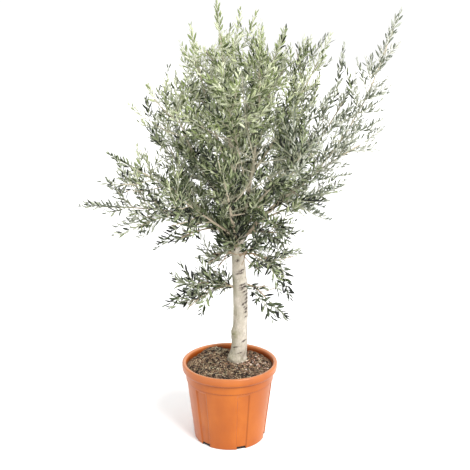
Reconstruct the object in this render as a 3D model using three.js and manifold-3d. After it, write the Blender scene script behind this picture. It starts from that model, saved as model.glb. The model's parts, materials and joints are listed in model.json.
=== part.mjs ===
// A young olive tree grown as a half-standard in a terracotta-coloured plastic nursery pot.
// Millimetres, +Z up. The origin is the centre of the pot's flat underside, the front is -Y.
// The trunk forks above the pot into boughs, and each bough runs on into one mass of foliage.

import * as THREE from "three";
import { mergeVertices } from "three/addons/utils/BufferGeometryUtils.js";
import Module from "manifold-3d";

const wasm = await Module();
wasm.setup();

// Driving dimensions

const gap = 0.3; // clearance between pieces that touch
const full = 2 * Math.PI;
const { lerp, degToRad, smoothstep } = THREE.MathUtils;

const pot = {
  height: 336,
  rimRadius: 200, // outside of the rolled rim
  rimDepth: 36,
  lip: 9, // rounding of the rim
  collarRadius: 184, // plain band under the rim
  collarDepth: 38,
  step: 3, // the body stands in from the collar by this much
  footRadius: 150,
  footChamfer: 4,
  wall: 4,
  floor: 6,
  flutes: 6,
  fluteSpan: degToRad(18),
  fluteSide: 0.12, // share of a flute that each of its sloping sides takes
  fluteDepth: 5,
  fluteFoot: 10, // the flutes run from here up to just under the step
  fluteCap: 6,
  firstFlute: degToRad(-71), // round from +X, so that one faces front right
  facetsPerPanel: 5,
};

const drain = { width: 30, height: 11, depth: 30 }; // notch at the foot of each flute

const soil = { level: 312, humps: 5, levelSpot: 60, rings: [270, 185, 115, 60], sides: 20 };
const mound = { x: -70, y: 135, radius: 70, height: 18 }; // heaped against the wall, behind on the left

// The foot stands behind and right of the pot's centre. All below is measured from it.
const foot = new THREE.Vector3(36, 58, soil.level + gap);

const trunk = {
  height: 538,
  lean: new THREE.Vector2(-10, -10), // how far the top has moved from the foot
  bow: new THREE.Vector2(15, 4), // how far the middle stands out of that line
  radius: 30.5,
  topRadius: 23,
  flare: 11, // extra radius at the foot
  flareHeight: 46,
  roots: 4, // swellings round the foot
  firstRoot: degToRad(195),
  dome: 9,
  sides: 14,
  steps: 16,
};

const bough = { steps: 4, taper: 0.6, sides: 5, thick: 8, thickSides: 6 }; // thick: base radius that takes more sides
const stem = { sides: 4, steps: 3, tipRadius: 2.3 };
const twig = { sides: 3, steps: 2, startShare: 0.55, tipRadius: 1.8 }; // startShare: of the stem's radius
const spray = { length: 130, width: 42, thickness: 4, belly: 0.42, sunk: 0.6 }; // one leaf stands for a leafy shoot

// The growing rule of a mass: angles in degrees, lengths in millimetres or shares of the stem
const rule = {
  seed: 4217,
  goldenAngle: 137.5,
  fewestTwigs: 1.6,
  lowTwigs: 1, // more on a shoot that comes straight out of the trunk
  twigEvery: 145, // one more twig for this much stem
  firstTwig: 0.08,
  lastTwig: 0.86,
  wideAngle: 62,
  narrowAngle: 38,
  longTwig: 175,
  shortTwig: 125,
  cutBack: [1, 0.75, 0.5, 0.3], // a twig that would leave its space is tried this much shorter
  twigLift: 0.25,
  sprayEvery: 45,
  sprayAngle: 44,
  sprayLift: 0.2,
  turns: [0, 72, 144, 216, 288], // a spray with no room is tried again this far round its twig
  facesUp: 0.5, // sprays face outwards and this much up
  twist: 70,
};

// Where each limb leaves its parent, and where the shoot at its end reaches.
// at: share of the parent's length. heading: degrees round from +X, as seen from the foot.
// reach: out from the foot. height: of the tip above the foot. climb: angle at which it sets off.
// share: how much of the way is bare bough. base: the bough's radius where it sets off.
const limbs = [
  { name: "centre", from: "trunk", at: 0.99, heading: 185, reach: 84, height: 1450, climb: 88, share: 0.38, base: 15 },
  { name: "left", from: "trunk", at: 0.9, heading: 192, reach: 515, height: 883, climb: 58, share: 0.4, base: 11.5 },
  { name: "front", from: "trunk", at: 0.96, heading: 318, reach: 110, height: 1393, climb: 72, share: 0.38, base: 9 },
  { name: "right", from: "trunk", at: 0.95, heading: 352, reach: 572, height: 985, climb: 52, share: 0.34, base: 11.5 },
  { name: "back", from: "trunk", at: 0.93, heading: 84, reach: 450, height: 978, climb: 56, share: 0.36, base: 11.5 },
  { name: "fore", from: "trunk", at: 0.87, heading: 262, reach: 440, height: 903, climb: 52, share: 0.36, base: 10.5 },
  { name: "left_far", from: "left", at: 0.72, heading: 180, reach: 624, height: 668, climb: 12, share: 0.2, base: 6.5 },
  { name: "left_low", from: "left", at: 0.84, heading: 198, reach: 498, height: 576, climb: 8, share: 0.18, base: 6 },
  { name: "left_under", from: "left", at: 0.5, heading: 207, reach: 345, height: 524, climb: 6, share: 0.2, base: 6 },
  { name: "left_shoulder", from: "left", at: 0.93, heading: 166, reach: 350, height: 1005, climb: 62, share: 0.2, base: 6.5 },
  { name: "left_high", from: "centre", at: 0.3, heading: 200, reach: 288, height: 1190, climb: 48, share: 0.32, base: 8 },
  { name: "top_left", from: "centre", at: 0.66, heading: 152, reach: 205, height: 1356, climb: 64, share: 0.28, base: 7.5 },
  { name: "top_right", from: "front", at: 0.88, heading: 38, reach: 200, height: 1338, climb: 60, share: 0.22, base: 5 },
  { name: "right_top", from: "centre", at: 0.52, heading: 350, reach: 350, height: 1343, climb: 52, share: 0.32, base: 8 },
  { name: "right_shoot", from: "right", at: 0.8, heading: 358, reach: 600, height: 1412, climb: 34, share: 0.22, base: 6.5 },
  { name: "right_high", from: "right", at: 0.95, heading: 14, reach: 500, height: 1188, climb: 50, share: 0.18, base: 6 },
  { name: "right_low", from: "right", at: 0.55, heading: 8, reach: 438, height: 764, climb: 20, share: 0.2, base: 6.5 },
  { name: "right_under", from: "right", at: 0.3, heading: 338, reach: 268, height: 572, climb: 8, share: 0.2, base: 6.5 },
  { name: "fore_right", from: "front", at: 0.35, heading: 308, reach: 440, height: 978, climb: 42, share: 0.3, base: 6.5 },
  { name: "fore_high", from: "front", at: 0.68, heading: 258, reach: 310, height: 1248, climb: 58, share: 0.26, base: 6 },
  { name: "fore_left", from: "fore", at: 0.6, heading: 228, reach: 440, height: 828, climb: 34, share: 0.2, base: 7 },
  { name: "back_right", from: "back", at: 0.45, heading: 44, reach: 450, height: 888, climb: 34, share: 0.24, base: 7.5 },
  { name: "back_left", from: "back", at: 0.7, heading: 128, reach: 450, height: 878, climb: 36, share: 0.22, base: 7 },
  { name: "back_high", from: "back", at: 0.92, heading: 92, reach: 320, height: 1258, climb: 66, share: 0.2, base: 6.5 },
  { name: "inner_left", from: "trunk", at: 0.97, heading: 222, reach: 200, height: 818, climb: 66, share: 0, base: 5 },
  { name: "inner_right", from: "trunk", at: 0.97, heading: 24, reach: 240, height: 778, climb: 58, share: 0, base: 5 },
  { name: "low_back", from: "trunk", at: 0.9, heading: 108, reach: 340, height: 603, climb: 24, share: 0, base: 5 },
  { name: "low_front", from: "trunk", at: 0.86, heading: 290, reach: 258, height: 593, climb: 24, share: 0, base: 5 },
  { name: "skirt_left", from: "trunk", at: 0.58, heading: 190, reach: 268, height: 330, climb: 36, share: 0, base: 5 },
  { name: "skirt_left_up", from: "trunk", at: 0.88, heading: 178, reach: 195, height: 412, climb: 16, share: 0, base: 5 },
  { name: "skirt_right", from: "trunk", at: 0.86, heading: 346, reach: 236, height: 345, climb: 30, share: 0, base: 5 },
  { name: "skirt_right_low", from: "trunk", at: 0.64, heading: 322, reach: 212, height: 232, climb: 14, share: 0, base: 4.5 },
];

// Colours and finishes

const finish = (color, roughness) => new THREE.MeshStandardMaterial({ color, roughness, metalness: 0 });
const plastic = finish(0xdb7d3f, 0.45);
const earth = finish(0x5d4a3a, 0.95);
const bark = finish(0xbcae9b, 0.85);
const youngBark = finish(0x96907c, 0.8);
const leafGreen = finish(0x6f8158, 0.6);

// Solids

// A geometry with bare positions, each vertex set where the given function puts it
function reshaped(geometry, place) {
  geometry.deleteAttribute("normal");
  geometry.deleteAttribute("uv");
  const positions = geometry.attributes.position;
  const vertex = new THREE.Vector3();
  for (let i = 0; i < positions.count; i += 1) {
    const { x, y, z } = place(vertex.fromBufferAttribute(positions, i), i);
    positions.setXYZ(i, x, y, z);
  }
  return geometry;
}

function solidOf(geometry) {
  const merged = mergeVertices(geometry, 1e-3);
  const corners = Array.from(merged.index.array);
  const triVerts = [];
  for (let i = 0; i < corners.length; i += 3) {
    const face = corners.slice(i, i + 3);
    if (new Set(face).size === 3) triVerts.push(...face);
  }
  const vertProperties = new Float32Array(merged.attributes.position.array);
  return new wasm.Manifold(new wasm.Mesh({ numProp: 3, vertProperties, triVerts: new Uint32Array(triVerts) }));
}

function geometryOf(solid) {
  const mesh = solid.getMesh();
  const geometry = new THREE.BufferGeometry();
  geometry.setAttribute("position", new THREE.BufferAttribute(mesh.vertProperties, 3));
  geometry.setIndex(new THREE.BufferAttribute(mesh.triVerts, 1));
  geometry.computeVertexNormals();
  return geometry;
}

const joined = (solids) => solids.reduce((left, right) => left.add(right));
const cutBy = (solid, cutters) => cutters.reduce((left, cutter) => left.subtract(cutter), solid);

// The largest body of a solid, which leaves out any loose scrap that a cut made
function largestBody(solid) {
  return solid.decompose().reduce((best, body) => (body.volume() > best.volume() ? body : best));
}

function namedMesh(name, solid, material) {
  const mesh = new THREE.Mesh(geometryOf(solid), material);
  mesh.name = name;
  return mesh;
}

// A repeatable stream of numbers between 0 and 1
function randomStream(seed) {
  let state = seed;
  return () => {
    state = (state * 48271) % 2147483647;
    return state / 2147483647;
  };
}

// Directions and lines

const up = new THREE.Vector3(0, 0, 1);
const sideways = new THREE.Vector3(1, 0, 0);

function direction(heading, climb) {
  const [h, c] = [heading, climb].map(degToRad);
  return new THREE.Vector3(Math.cos(h) * Math.cos(c), Math.sin(h) * Math.cos(c), Math.sin(c));
}

// A direction turned by an angle away from a line, on the side given by a turn round that line
function turnedFrom(along, angle, turn) {
  const side = new THREE.Vector3().crossVectors(along, Math.abs(along.z) > 0.9 ? sideways : up).normalize();
  const other = new THREE.Vector3().crossVectors(along, side);
  const [a, t] = [angle, turn].map(degToRad);
  return along
    .clone()
    .multiplyScalar(Math.cos(a))
    .addScaledVector(side, Math.sin(a) * Math.cos(t))
    .addScaledVector(other, Math.sin(a) * Math.sin(t));
}

// The point and the heading at a share of the length of an even line of points
function pointOn(line, share) {
  const place = share * (line.length - 1);
  const index = Math.min(Math.floor(place), line.length - 2);
  const along = new THREE.Vector3().subVectors(line[index + 1], line[index]);
  return { point: line[index].clone().addScaledVector(along, place - index), along: along.normalize() };
}

function lengthOf(line) {
  return line.slice(1).reduce((sum, point, i) => sum + point.distanceTo(line[i]), 0);
}

function distanceToLine(point, line) {
  const part = new THREE.Line3();
  const nearest = new THREE.Vector3();
  let least = Infinity;
  for (let i = 0; i < line.length - 1; i += 1) {
    part.set(line[i], line[i + 1]).closestPointToPoint(point, true, nearest);
    least = Math.min(least, nearest.distanceTo(point));
  }
  return least;
}

// The angle of a vertex round a cylinder's axis, and 0 on the axis
function angleRound(vertex, sides) {
  const turn = Math.round((Math.atan2(vertex.x, vertex.z) / full) * sides);
  return (((turn + sides) % sides) / sides) * full;
}

// A cylinder bent along a line, tapering and with flat ends. Its sides follow the line without twist.
function taperedTube(line, startRadius, endRadius, sides, firstWay = null) {
  const steps = line.length - 1;
  let across = null;
  const rings = line.map((centre, i) => {
    const along = new THREE.Vector3().subVectors(line[Math.min(i + 1, steps)], line[Math.max(i - 1, 0)]);
    if (i === 0 && firstWay) along.copy(firstWay);
    along.normalize();
    const guess = across ?? (Math.abs(along.z) > 0.9 ? sideways : up);
    across = guess.clone().addScaledVector(along, -guess.dot(along)).normalize();
    const other = new THREE.Vector3().crossVectors(along, across);
    return { centre, across, other, radius: lerp(startRadius, endRadius, i / steps) };
  });
  return reshaped(new THREE.CylinderGeometry(1, 1, steps, sides, steps), (vertex) => {
    const ring = rings[Math.round(vertex.y + steps / 2)];
    const angle = angleRound(vertex, sides);
    return ring.centre
      .clone()
      .addScaledVector(ring.across, ring.radius * Math.cos(angle))
      .addScaledVector(ring.other, ring.radius * Math.sin(angle));
  });
}

// Pot

const rimFoot = pot.height - pot.rimDepth;
const stepHeight = rimFoot - pot.collarDepth;
const fluteTop = stepHeight - pot.fluteCap;

// Outer radius of the fluted body at a height, by its straight taper from the step down to the foot
function bodyRadius(z) {
  return lerp(pot.footRadius, pot.collarRadius - pot.step, z / stepHeight);
}

// Angles round the pot, each with a mark that says whether it lies in a flute
const potAngles = Array.from({ length: pot.flutes }, (_, flute) => {
  const period = full / pot.flutes;
  const middle = pot.firstFlute + flute * period;
  const edge = pot.fluteSpan / 2;
  const bed = edge - pot.fluteSpan * pot.fluteSide;
  const panel = Array.from({ length: pot.facetsPerPanel }, (__, facet) => {
    return [middle + edge + ((period - pot.fluteSpan) * (facet + 1)) / (pot.facetsPerPanel + 1), 0];
  });
  return [[middle - edge, 0], [middle - bed, 1], [middle, 1], [middle + bed, 1], [middle + edge, 0], ...panel];
}).flat();

// A turned solid from rows of radius, height and depth of the flutes, from the bottom up
function turned(rows) {
  const profile = [[0, rows[0][1]], ...rows, [0, rows.at(-1)[1]]];
  const points = profile.map(([radius, z]) => new THREE.Vector2(radius, z));
  const lathe = reshaped(new THREE.LatheGeometry(points, potAngles.length), (_, index) => {
    const [radius, z, depth = 0] = profile[index % profile.length];
    const [angle, mark] = potAngles[Math.floor(index / profile.length) % potAngles.length];
    const r = radius - depth * mark;
    return new THREE.Vector3(r * Math.cos(angle), r * Math.sin(angle), z);
  });
  return solidOf(lathe);
}

// The room inside the wall, or with some clearance what stands off it. The flutes fade out under the rim.
function potInside(clear, top) {
  const inner = pot.collarRadius - pot.wall - clear;
  return turned([
    [bodyRadius(0) - pot.wall - 2 - clear, pot.floor + clear, pot.fluteDepth],
    [bodyRadius(pot.fluteFoot) - pot.wall - clear, pot.fluteFoot, pot.fluteDepth],
    [bodyRadius(fluteTop) - pot.wall - clear, fluteTop, pot.fluteDepth],
    [inner, soil.level - 20],
    [inner, pot.height - pot.lip],
    [inner + pot.lip, top],
  ]);
}

// One block for each flute, across the wall's foot and under the floor's edge
function drainBlock(flute) {
  const block = new THREE.BoxGeometry(drain.depth, drain.width, drain.height * 2);
  block.translate(pot.footRadius, 0, 0);
  block.rotateZ(pot.firstFlute + (flute * full) / pot.flutes);
  return solidOf(reshaped(block, (vertex) => vertex));
}

function makePot() {
  const outside = turned([
    [pot.footRadius - pot.footChamfer, 0],
    [pot.footRadius, pot.footChamfer],
    [bodyRadius(pot.fluteFoot), pot.fluteFoot, pot.fluteDepth],
    [bodyRadius(fluteTop), fluteTop, pot.fluteDepth],
    [bodyRadius(stepHeight), stepHeight],
    [pot.collarRadius, stepHeight + 2],
    [pot.collarRadius + 2, rimFoot + 4],
    [pot.rimRadius - 3, rimFoot],
    [pot.rimRadius, pot.height - pot.lip],
    [pot.rimRadius - 4, pot.height - 2],
    [pot.rimRadius - pot.lip, pot.height],
  ]);
  const drains = Array.from({ length: pot.flutes }, (_, flute) => drainBlock(flute));
  return namedMesh("pot", cutBy(outside, [potInside(0, pot.height + 4), ...drains]), plastic);
}

// Soil

// Low humps and one mound, all level round the trunk's foot
function soilHeight(x, y) {
  const rise = smoothstep(Math.hypot(x - foot.x, y - foot.y), soil.levelSpot, 2 * soil.levelSpot);
  const hump = Math.sin(x / 31 + 1.2) * Math.cos(y / 37 - 0.4);
  const heap = Math.exp(-(((x - mound.x) ** 2 + (y - mound.y) ** 2) / mound.radius ** 2));
  return soil.level + rise * (soil.humps * (hump - 0.2) + mound.height * heap);
}

// A round block about the foot, cut to the room inside the pot
function makeSoil() {
  const profile = [0, soil.rings[0], ...soil.rings, 0].map((radius, i) => new THREE.Vector2(radius, i > 1 ? 1 : 0));
  const block = reshaped(new THREE.LatheGeometry(profile, soil.sides), (vertex) => {
    const [x, y] = [foot.x + vertex.z, foot.y + vertex.x];
    return new THREE.Vector3(x, y, vertex.y ? soilHeight(x, y) : 0);
  });
  return namedMesh("soil", solidOf(block).intersect(potInside(gap, pot.height)), earth);
}

// Trunk

const trunkLine = Array.from({ length: trunk.steps + 1 }, (_, i) => {
  const share = i / trunk.steps;
  const middle = Math.sin(Math.PI * share);
  return new THREE.Vector3(
    trunk.lean.x * share + trunk.bow.x * middle,
    trunk.lean.y * share + trunk.bow.y * middle,
    trunk.height * share,
  );
});

function trunkRadius(share, angle) {
  const flare = trunk.flare * Math.exp((-share * trunk.height) / trunk.flareHeight);
  const lobes = 0.55 + 0.9 * Math.max(0, Math.cos((trunk.roots * (angle - trunk.firstRoot)) / 2)) ** 2;
  const body = lerp(trunk.radius, trunk.topRadius, smoothstep(share, 0.65, 1));
  return body * (1 + 0.03 * Math.sin(3 * angle + 9 * share)) + flare * lobes;
}

// The trunk, or with some growth the room that other pieces leave it. A low dome closes it over the fork.
function trunkSolid(grow = 0) {
  const { sides, steps } = trunk;
  const cylinder = new THREE.CylinderGeometry(1, 1, steps + 1, sides, steps + 1);
  return solidOf(
    reshaped(cylinder, (vertex) => {
      const ring = Math.round(vertex.y + (steps + 1) / 2);
      const [step, over] = ring > steps ? [steps, 1] : [ring, 0];
      const angle = angleRound(vertex, sides);
      const radius = (trunkRadius(step / steps, angle) + grow) * (over ? 0.55 : 1);
      const outward = new THREE.Vector3(radius * Math.cos(angle), radius * Math.sin(angle), over * (trunk.dome + grow));
      return outward.add(trunkLine[step]);
    }),
  );
}

// Boughs

// Each limb's whole way, from its parent's centre line to the tip of its last shoot
function limbCurve(limb, start) {
  const tip = direction(limb.heading, 0).multiplyScalar(limb.reach).setZ(limb.height);
  const chord = new THREE.Vector3().subVectors(tip, start);
  const bearing = THREE.MathUtils.radToDeg(Math.atan2(chord.y, chord.x));
  const knee = start.clone().addScaledVector(direction(bearing, limb.climb), chord.length() * 0.48);
  return new THREE.QuadraticBezierCurve3(start, knee, tip);
}

// An even run of points along part of a curve
function stretch(curve, from, to, steps) {
  return Array.from({ length: steps + 1 }, (_, i) => curve.getPointAt(lerp(from, to, i / steps)));
}

// The bare bough and the stem of the mass that carries it on
function planLimbs() {
  const lines = new Map([["trunk", trunkLine]]);
  return limbs.map((limb, index) => {
    const curve = limbCurve(limb, pointOn(lines.get(limb.from), limb.at).point);
    const length = curve.getLength();
    const boughLine = stretch(curve, 0, limb.share, bough.steps);
    lines.set(limb.name, boughLine);
    const stemStart = limb.share ? limb.share + gap / length : 0;
    const stemLine = stretch(curve, stemStart, 1 - (spray.length * 0.8) / length, stem.steps);
    const tipRadius = limb.share ? limb.base * bough.taper : limb.base;
    const seat = limb.share ? pointOn(boughLine, 1).along : null; // the stem starts square to its bough's end
    return { ...limb, index, boughLine, stemLine, tipRadius, seat };
  });
}

// A bough, or with some growth the room that other pieces leave it, short of the stem at its end
function boughSolid(plan, grow = 0) {
  const { point, along } = pointOn(plan.boughLine, 1);
  const line = [...plan.boughLine.slice(0, -1), point.addScaledVector(along, grow / 2)];
  const sides = plan.base > bough.thick ? bough.thickSides : bough.sides;
  return solidOf(taperedTube(line, plan.base + grow, plan.tipRadius + grow, sides));
}

// Foliage

// A mass keeps to the points that lie nearer to its own stem than to any other, and off the limbs
function isFree(point, plan, plans, margin) {
  if (distanceToLine(point, trunkLine) < trunk.radius + margin) return false;
  const own = distanceToLine(point, plan.stemLine);
  return plans.every((other) => {
    const nearer = other !== plan && distanceToLine(point, other.stemLine) < own + margin;
    return !nearer && !(other.share && distanceToLine(point, other.boughLine) < other.base + margin);
  });
}

// A line that sets off one way and lifts towards the light
function bentLine(start, heading, length, lift, steps) {
  const line = [start.clone()];
  const way = heading.clone();
  for (let i = 0; i < steps; i += 1) {
    line.push(line.at(-1).clone().addScaledVector(way, length / steps));
    way.addScaledVector(up, lift).normalize();
  }
  return line;
}

// Twigs up one stem, each turned on from the last, and cut back as far as its space asks
function twigsUp(plan, plans) {
  const fewest = rule.fewestTwigs + (plan.share ? 0 : rule.lowTwigs);
  const count = Math.round(fewest + lengthOf(plan.stemLine) / rule.twigEvery);
  const found = [];
  for (let i = 0; i < count; i += 1) {
    const random = randomStream(rule.seed + 7919 * plan.index + 101 * i);
    const share = lerp(rule.firstTwig, rule.lastTwig, (i + 0.6 * random()) / count);
    const { point, along } = pointOn(plan.stemLine, share);
    const angle = lerp(rule.wideAngle, rule.narrowAngle, share) + 12 * (random() - 0.5);
    const heading = turnedFrom(along, angle, 360 * random() + i * rule.goldenAngle);
    const reach = lerp(rule.longTwig, rule.shortTwig, share) * (0.8 + 0.4 * random());
    const line = rule.cutBack
      .map((cut) => bentLine(point, heading, reach * cut, rule.twigLift, twig.steps))
      .find((tried) => tried.slice(1).every((p) => isFree(p, plan, plans, 5)));
    const radius = lerp(plan.tipRadius, stem.tipRadius, share) * twig.startShare;
    if (line) found.push({ line, radius, random });
  }
  return found;
}

// One spray as a leaf: its root, way, length and face
function leafOn(point, way, length, twist) {
  const face = new THREE.Vector3(point.x, point.y, 0).normalize().addScaledVector(up, rule.facesUp);
  face.addScaledVector(way, -face.dot(way)).normalize();
  face.applyAxisAngle(way, degToRad(twist));
  return { root: point.clone().addScaledVector(way, -spray.sunk), way, length, face };
}

function cornersOf({ root, way, length, face }) {
  const side = new THREE.Vector3().crossVectors(way, face).multiplyScalar(spray.width / 2);
  const belly = root.clone().addScaledVector(way, length * spray.belly);
  const tip = root.clone().addScaledVector(way, length);
  return { root, tip, belly, left: belly.clone().add(side), right: belly.clone().sub(side) };
}

// The lines and the two faces by which a leaf can cross another, from a little off its root
function outlineOf({ root, tip, left, right }) {
  const neck = root.clone().lerp(tip, 0.12);
  const faces = [
    [neck, left, right],
    [tip, left, right],
  ];
  return { lines: [[neck, left, tip, right, neck, tip]], faces };
}

// Whether any line runs through any three-cornered face
function runsThrough(lines, faces) {
  const ray = new THREE.Ray();
  const hit = new THREE.Vector3();
  return lines.some((line) =>
    line.slice(1).some((end, i) => {
      ray.set(line[i], end.clone().sub(line[i]).normalize());
      const reach = end.distanceTo(line[i]);
      return faces.some((face) => ray.intersectTriangle(...face, false, hit) && hit.distanceTo(line[i]) < reach);
    }),
  );
}

// A mass's space with the wood in it, which takes a leaf only where it crosses nothing
function makeRoom(plan, plans, wood) {
  const leaves = [];
  const outlines = [];
  const take = (leaf) => {
    const corners = cornersOf(leaf);
    const { tip, belly, left, right } = corners;
    const points = [tip, belly, left, right, tip.clone().lerp(belly, 0.5)];
    if (!points.every((point) => isFree(point, plan, plans, 3))) return false;
    const outline = outlineOf(corners);
    const crossing = outlines.some(
      (other) => runsThrough(outline.lines, other.faces) || runsThrough(other.lines, outline.faces),
    );
    if (crossing || runsThrough(wood, outline.faces)) return false;
    leaves.push(leaf);
    outlines.push(outline);
    return true;
  };
  return { leaves, take };
}

// Sprays all round a line, and one that carries its tip on. Each takes the first turn that has room.
function spraysAlong(line, from, random, room) {
  const count = Math.round((lengthOf(line) * (1 - from)) / rule.sprayEvery);
  const start = 360 * random();
  for (let i = 0; i < count; i += 1) {
    const { point, along } = pointOn(line, lerp(from, 0.94, (i + 0.5 * random()) / count));
    const angle = rule.sprayAngle + 16 * (random() - 0.5);
    const length = spray.length * (0.8 + 0.35 * random());
    const twist = rule.twist * (random() - 0.5);
    rule.turns.some((turn) => {
      const way = turnedFrom(along, angle, start + turn + i * rule.goldenAngle);
      return room.take(leafOn(point, way.addScaledVector(up, rule.sprayLift).normalize(), length, twist));
    });
  }
  const { point, along } = pointOn(line, 1);
  room.take(leafOn(point.addScaledVector(along, -1), along, spray.length, rule.twist * (random() - 0.5)));
}

// A leaf of six faces, from a sphere of three sides: widest below its middle, with a flat back
function leafSolid(leaf) {
  const { root, tip, belly } = cornersOf(leaf);
  const side = new THREE.Vector3().crossVectors(leaf.face, leaf.way);
  return solidOf(
    reshaped(new THREE.SphereGeometry(1, 3, 2), (vertex) => {
      if (Math.abs(vertex.y) > 0.5) return vertex.y > 0 ? tip : root;
      return belly
        .clone()
        .addScaledVector(leaf.face, (vertex.x * spray.thickness * 2) / 3)
        .addScaledVector(side, (vertex.z * spray.width) / Math.sqrt(3));
    }),
  );
}

function makeMass(plan, plans, limbSolids) {
  const twigs = twigsUp(plan, plans);
  const room = makeRoom(plan, plans, [plan.stemLine, ...twigs.map(({ line }) => line)]);
  spraysAlong(plan.stemLine, 0.1, randomStream(rule.seed + 7919 * plan.index + 97), room);
  for (const { line, random } of twigs) spraysAlong(line, 0.35, random, room);
  const grown = joined([
    solidOf(taperedTube(plan.stemLine, plan.tipRadius, stem.tipRadius, stem.sides, plan.seat)),
    ...twigs.map(({ line, radius }) => solidOf(taperedTube(line, radius, twig.tipRadius, twig.sides))),
    ...room.leaves.map(leafSolid),
  ]);
  return namedMesh("foliage_" + plan.name, largestBody(cutBy(grown, limbSolids)), leafGreen);
}

// Assembly

const container = new THREE.Group();
container.add(makePot(), makeSoil());

const plant = new THREE.Group();
plant.position.copy(foot);
plant.add(namedMesh("trunk", trunkSolid(), bark));

const plans = planLimbs();
const takenUp = [trunkSolid(gap)];
for (const plan of plans.filter((p) => p.share)) {
  plant.add(namedMesh("bough_" + plan.name, largestBody(cutBy(boughSolid(plan), takenUp)), youngBark));
  takenUp.push(boughSolid(plan, gap));
}
for (const plan of plans) plant.add(makeMass(plan, plans, takenUp));

const tree = new THREE.Group();
tree.add(container, plant);

export default tree;
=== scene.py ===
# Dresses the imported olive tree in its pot: bark, finer twigs, leaves, soil and a smooth pot.
# Shapes are worked out in millimetres and written to their meshes in metres.
import json
import math
import bmesh
import bpy
import numpy as np
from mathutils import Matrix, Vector, noise

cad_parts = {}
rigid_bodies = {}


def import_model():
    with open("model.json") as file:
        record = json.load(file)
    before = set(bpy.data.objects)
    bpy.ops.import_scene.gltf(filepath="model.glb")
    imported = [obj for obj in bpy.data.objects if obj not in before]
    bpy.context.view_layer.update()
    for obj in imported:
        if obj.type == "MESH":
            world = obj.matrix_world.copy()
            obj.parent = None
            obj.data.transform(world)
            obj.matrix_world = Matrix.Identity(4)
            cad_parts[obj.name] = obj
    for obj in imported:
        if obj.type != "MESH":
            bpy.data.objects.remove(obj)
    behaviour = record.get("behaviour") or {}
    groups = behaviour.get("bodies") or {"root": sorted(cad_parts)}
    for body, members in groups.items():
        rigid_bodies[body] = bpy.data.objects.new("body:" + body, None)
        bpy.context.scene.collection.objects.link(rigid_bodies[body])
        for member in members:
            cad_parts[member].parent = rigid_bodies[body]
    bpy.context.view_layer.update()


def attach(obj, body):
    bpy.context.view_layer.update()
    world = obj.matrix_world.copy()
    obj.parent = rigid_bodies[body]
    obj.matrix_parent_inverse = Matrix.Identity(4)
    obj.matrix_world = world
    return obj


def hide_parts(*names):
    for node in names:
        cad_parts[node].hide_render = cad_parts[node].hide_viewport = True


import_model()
mm = 0.001
wholeTurn = 2 * math.pi


# Sums and shares

def lerp(low, high, share):
    return low + (high - low) * share


def smoothstep(value, low, high):
    share = np.clip((value - low) / (high - low), 0, 1)
    return share * share * (3 - 2 * share)


def bent(start, knee, tip, t):  # a point on the curve that leaves its start towards the knee
    return (1 - t) ** 2 * start + 2 * (1 - t) * t * knee + t ** 2 * tip


def unit(vector):
    return vector / math.sqrt(vector @ vector)


def cross(a, b):
    return np.array([a[1] * b[2] - a[2] * b[1], a[2] * b[0] - a[0] * b[2], a[0] * b[1] - a[1] * b[0]])


def randomStream(seed):  # the same stream of numbers between 0 and 1 as the solids were grown by
    state = seed

    def draw():
        nonlocal state
        state = state * 48271 % 2147483647
        return state / 2147483647

    return draw


def atLeast(random, least, more):
    return least + more * random()


def swing(random, width):  # evenly spread on both sides of nought
    return width * (random() - 0.5)


def fractal(point, size, octaves=3, stretch=1):  # noise from about -1 to 1, for features of a size in mm
    x, y, z = point / size
    return noise.fractal(Vector((x, y, z / stretch)), 1.0, 2.0, octaves)


# Meshes and nodes

def linkObject(name, data):
    made = bpy.data.objects.new(name, data)
    bpy.context.scene.collection.objects.link(made)
    return made


def meshObject(name, points, edges=(), faces=(), scale=mm):
    mesh = bpy.data.meshes.new(name)
    mesh.from_pydata((np.asarray(points, float) * scale).tolist(), list(edges), list(faces))
    return linkObject(name, mesh)


def storeValues(mesh, name, values, domain="POINT", kind="FLOAT"):
    field = "vector" if kind == "FLOAT_VECTOR" else "value"
    flat = np.asarray(values, {"BOOLEAN": bool, "INT": np.int32}.get(kind, np.float32)).ravel()
    mesh.attributes.new(name, kind, domain).data.foreach_set(field, flat)


growthValues = ("way", "face", "size", "shape", "tint", "under", "thickness")  # what only the trees read


def settled(source):  # the object with its modifiers made real, as a plain smooth mesh
    name = source.name
    graph = bpy.context.evaluated_depsgraph_get()
    mesh = bpy.data.meshes.new_from_object(source.evaluated_get(graph))
    bpy.data.objects.remove(source)
    for attribute in [a.name for a in mesh.attributes if a.name in growthValues]:
        mesh.attributes.remove(mesh.attributes[attribute])
    mesh.shade_smooth()
    mesh.name = name
    return linkObject(name, mesh)


def vertexTable(vertices, field):  # a row of three for each vertex
    table = np.zeros(len(vertices) * 3)
    vertices.foreach_get(field, table)
    return table.reshape(-1, 3)


def pushOut(mesh, places, normals, rise):  # moves the surface along its normals
    mesh.vertices.foreach_set("co", (places + normals * rise[:, None]).ravel())
    mesh.update()


def bandFaces(rows, around):  # faces between rows of points, each row closed on itself
    found = []
    for base in range(0, (rows - 1) * around, around):
        for k in range(base, base + around):
            n = base + (k + 1 - base) % around
            found.append((k, n, n + around, k + around))
    return found


def skinFaces(rows, around, turnOver=False):  # the same, closed by the two single points after the rows
    found = bandFaces(rows, around)
    first, end = rows * around, (rows - 1) * around
    for k in range(around):
        n = (k + 1) % around
        found += [(first, n, k), (first + 1, end + k, end + n)]
    return [(face[0], *face[:0:-1]) for face in found] if turnOver else found


def addNode(tree, kind, inputs=None, **settings):
    made = tree.nodes.new(kind)
    for key, value in settings.items():
        setattr(made, key, value)
    for key, value in (inputs or {}).items():
        if isinstance(value, bpy.types.NodeSocket):
            tree.links.new(value, made.inputs[key])
        else:
            made.inputs[key].default_value = value
    return made


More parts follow.
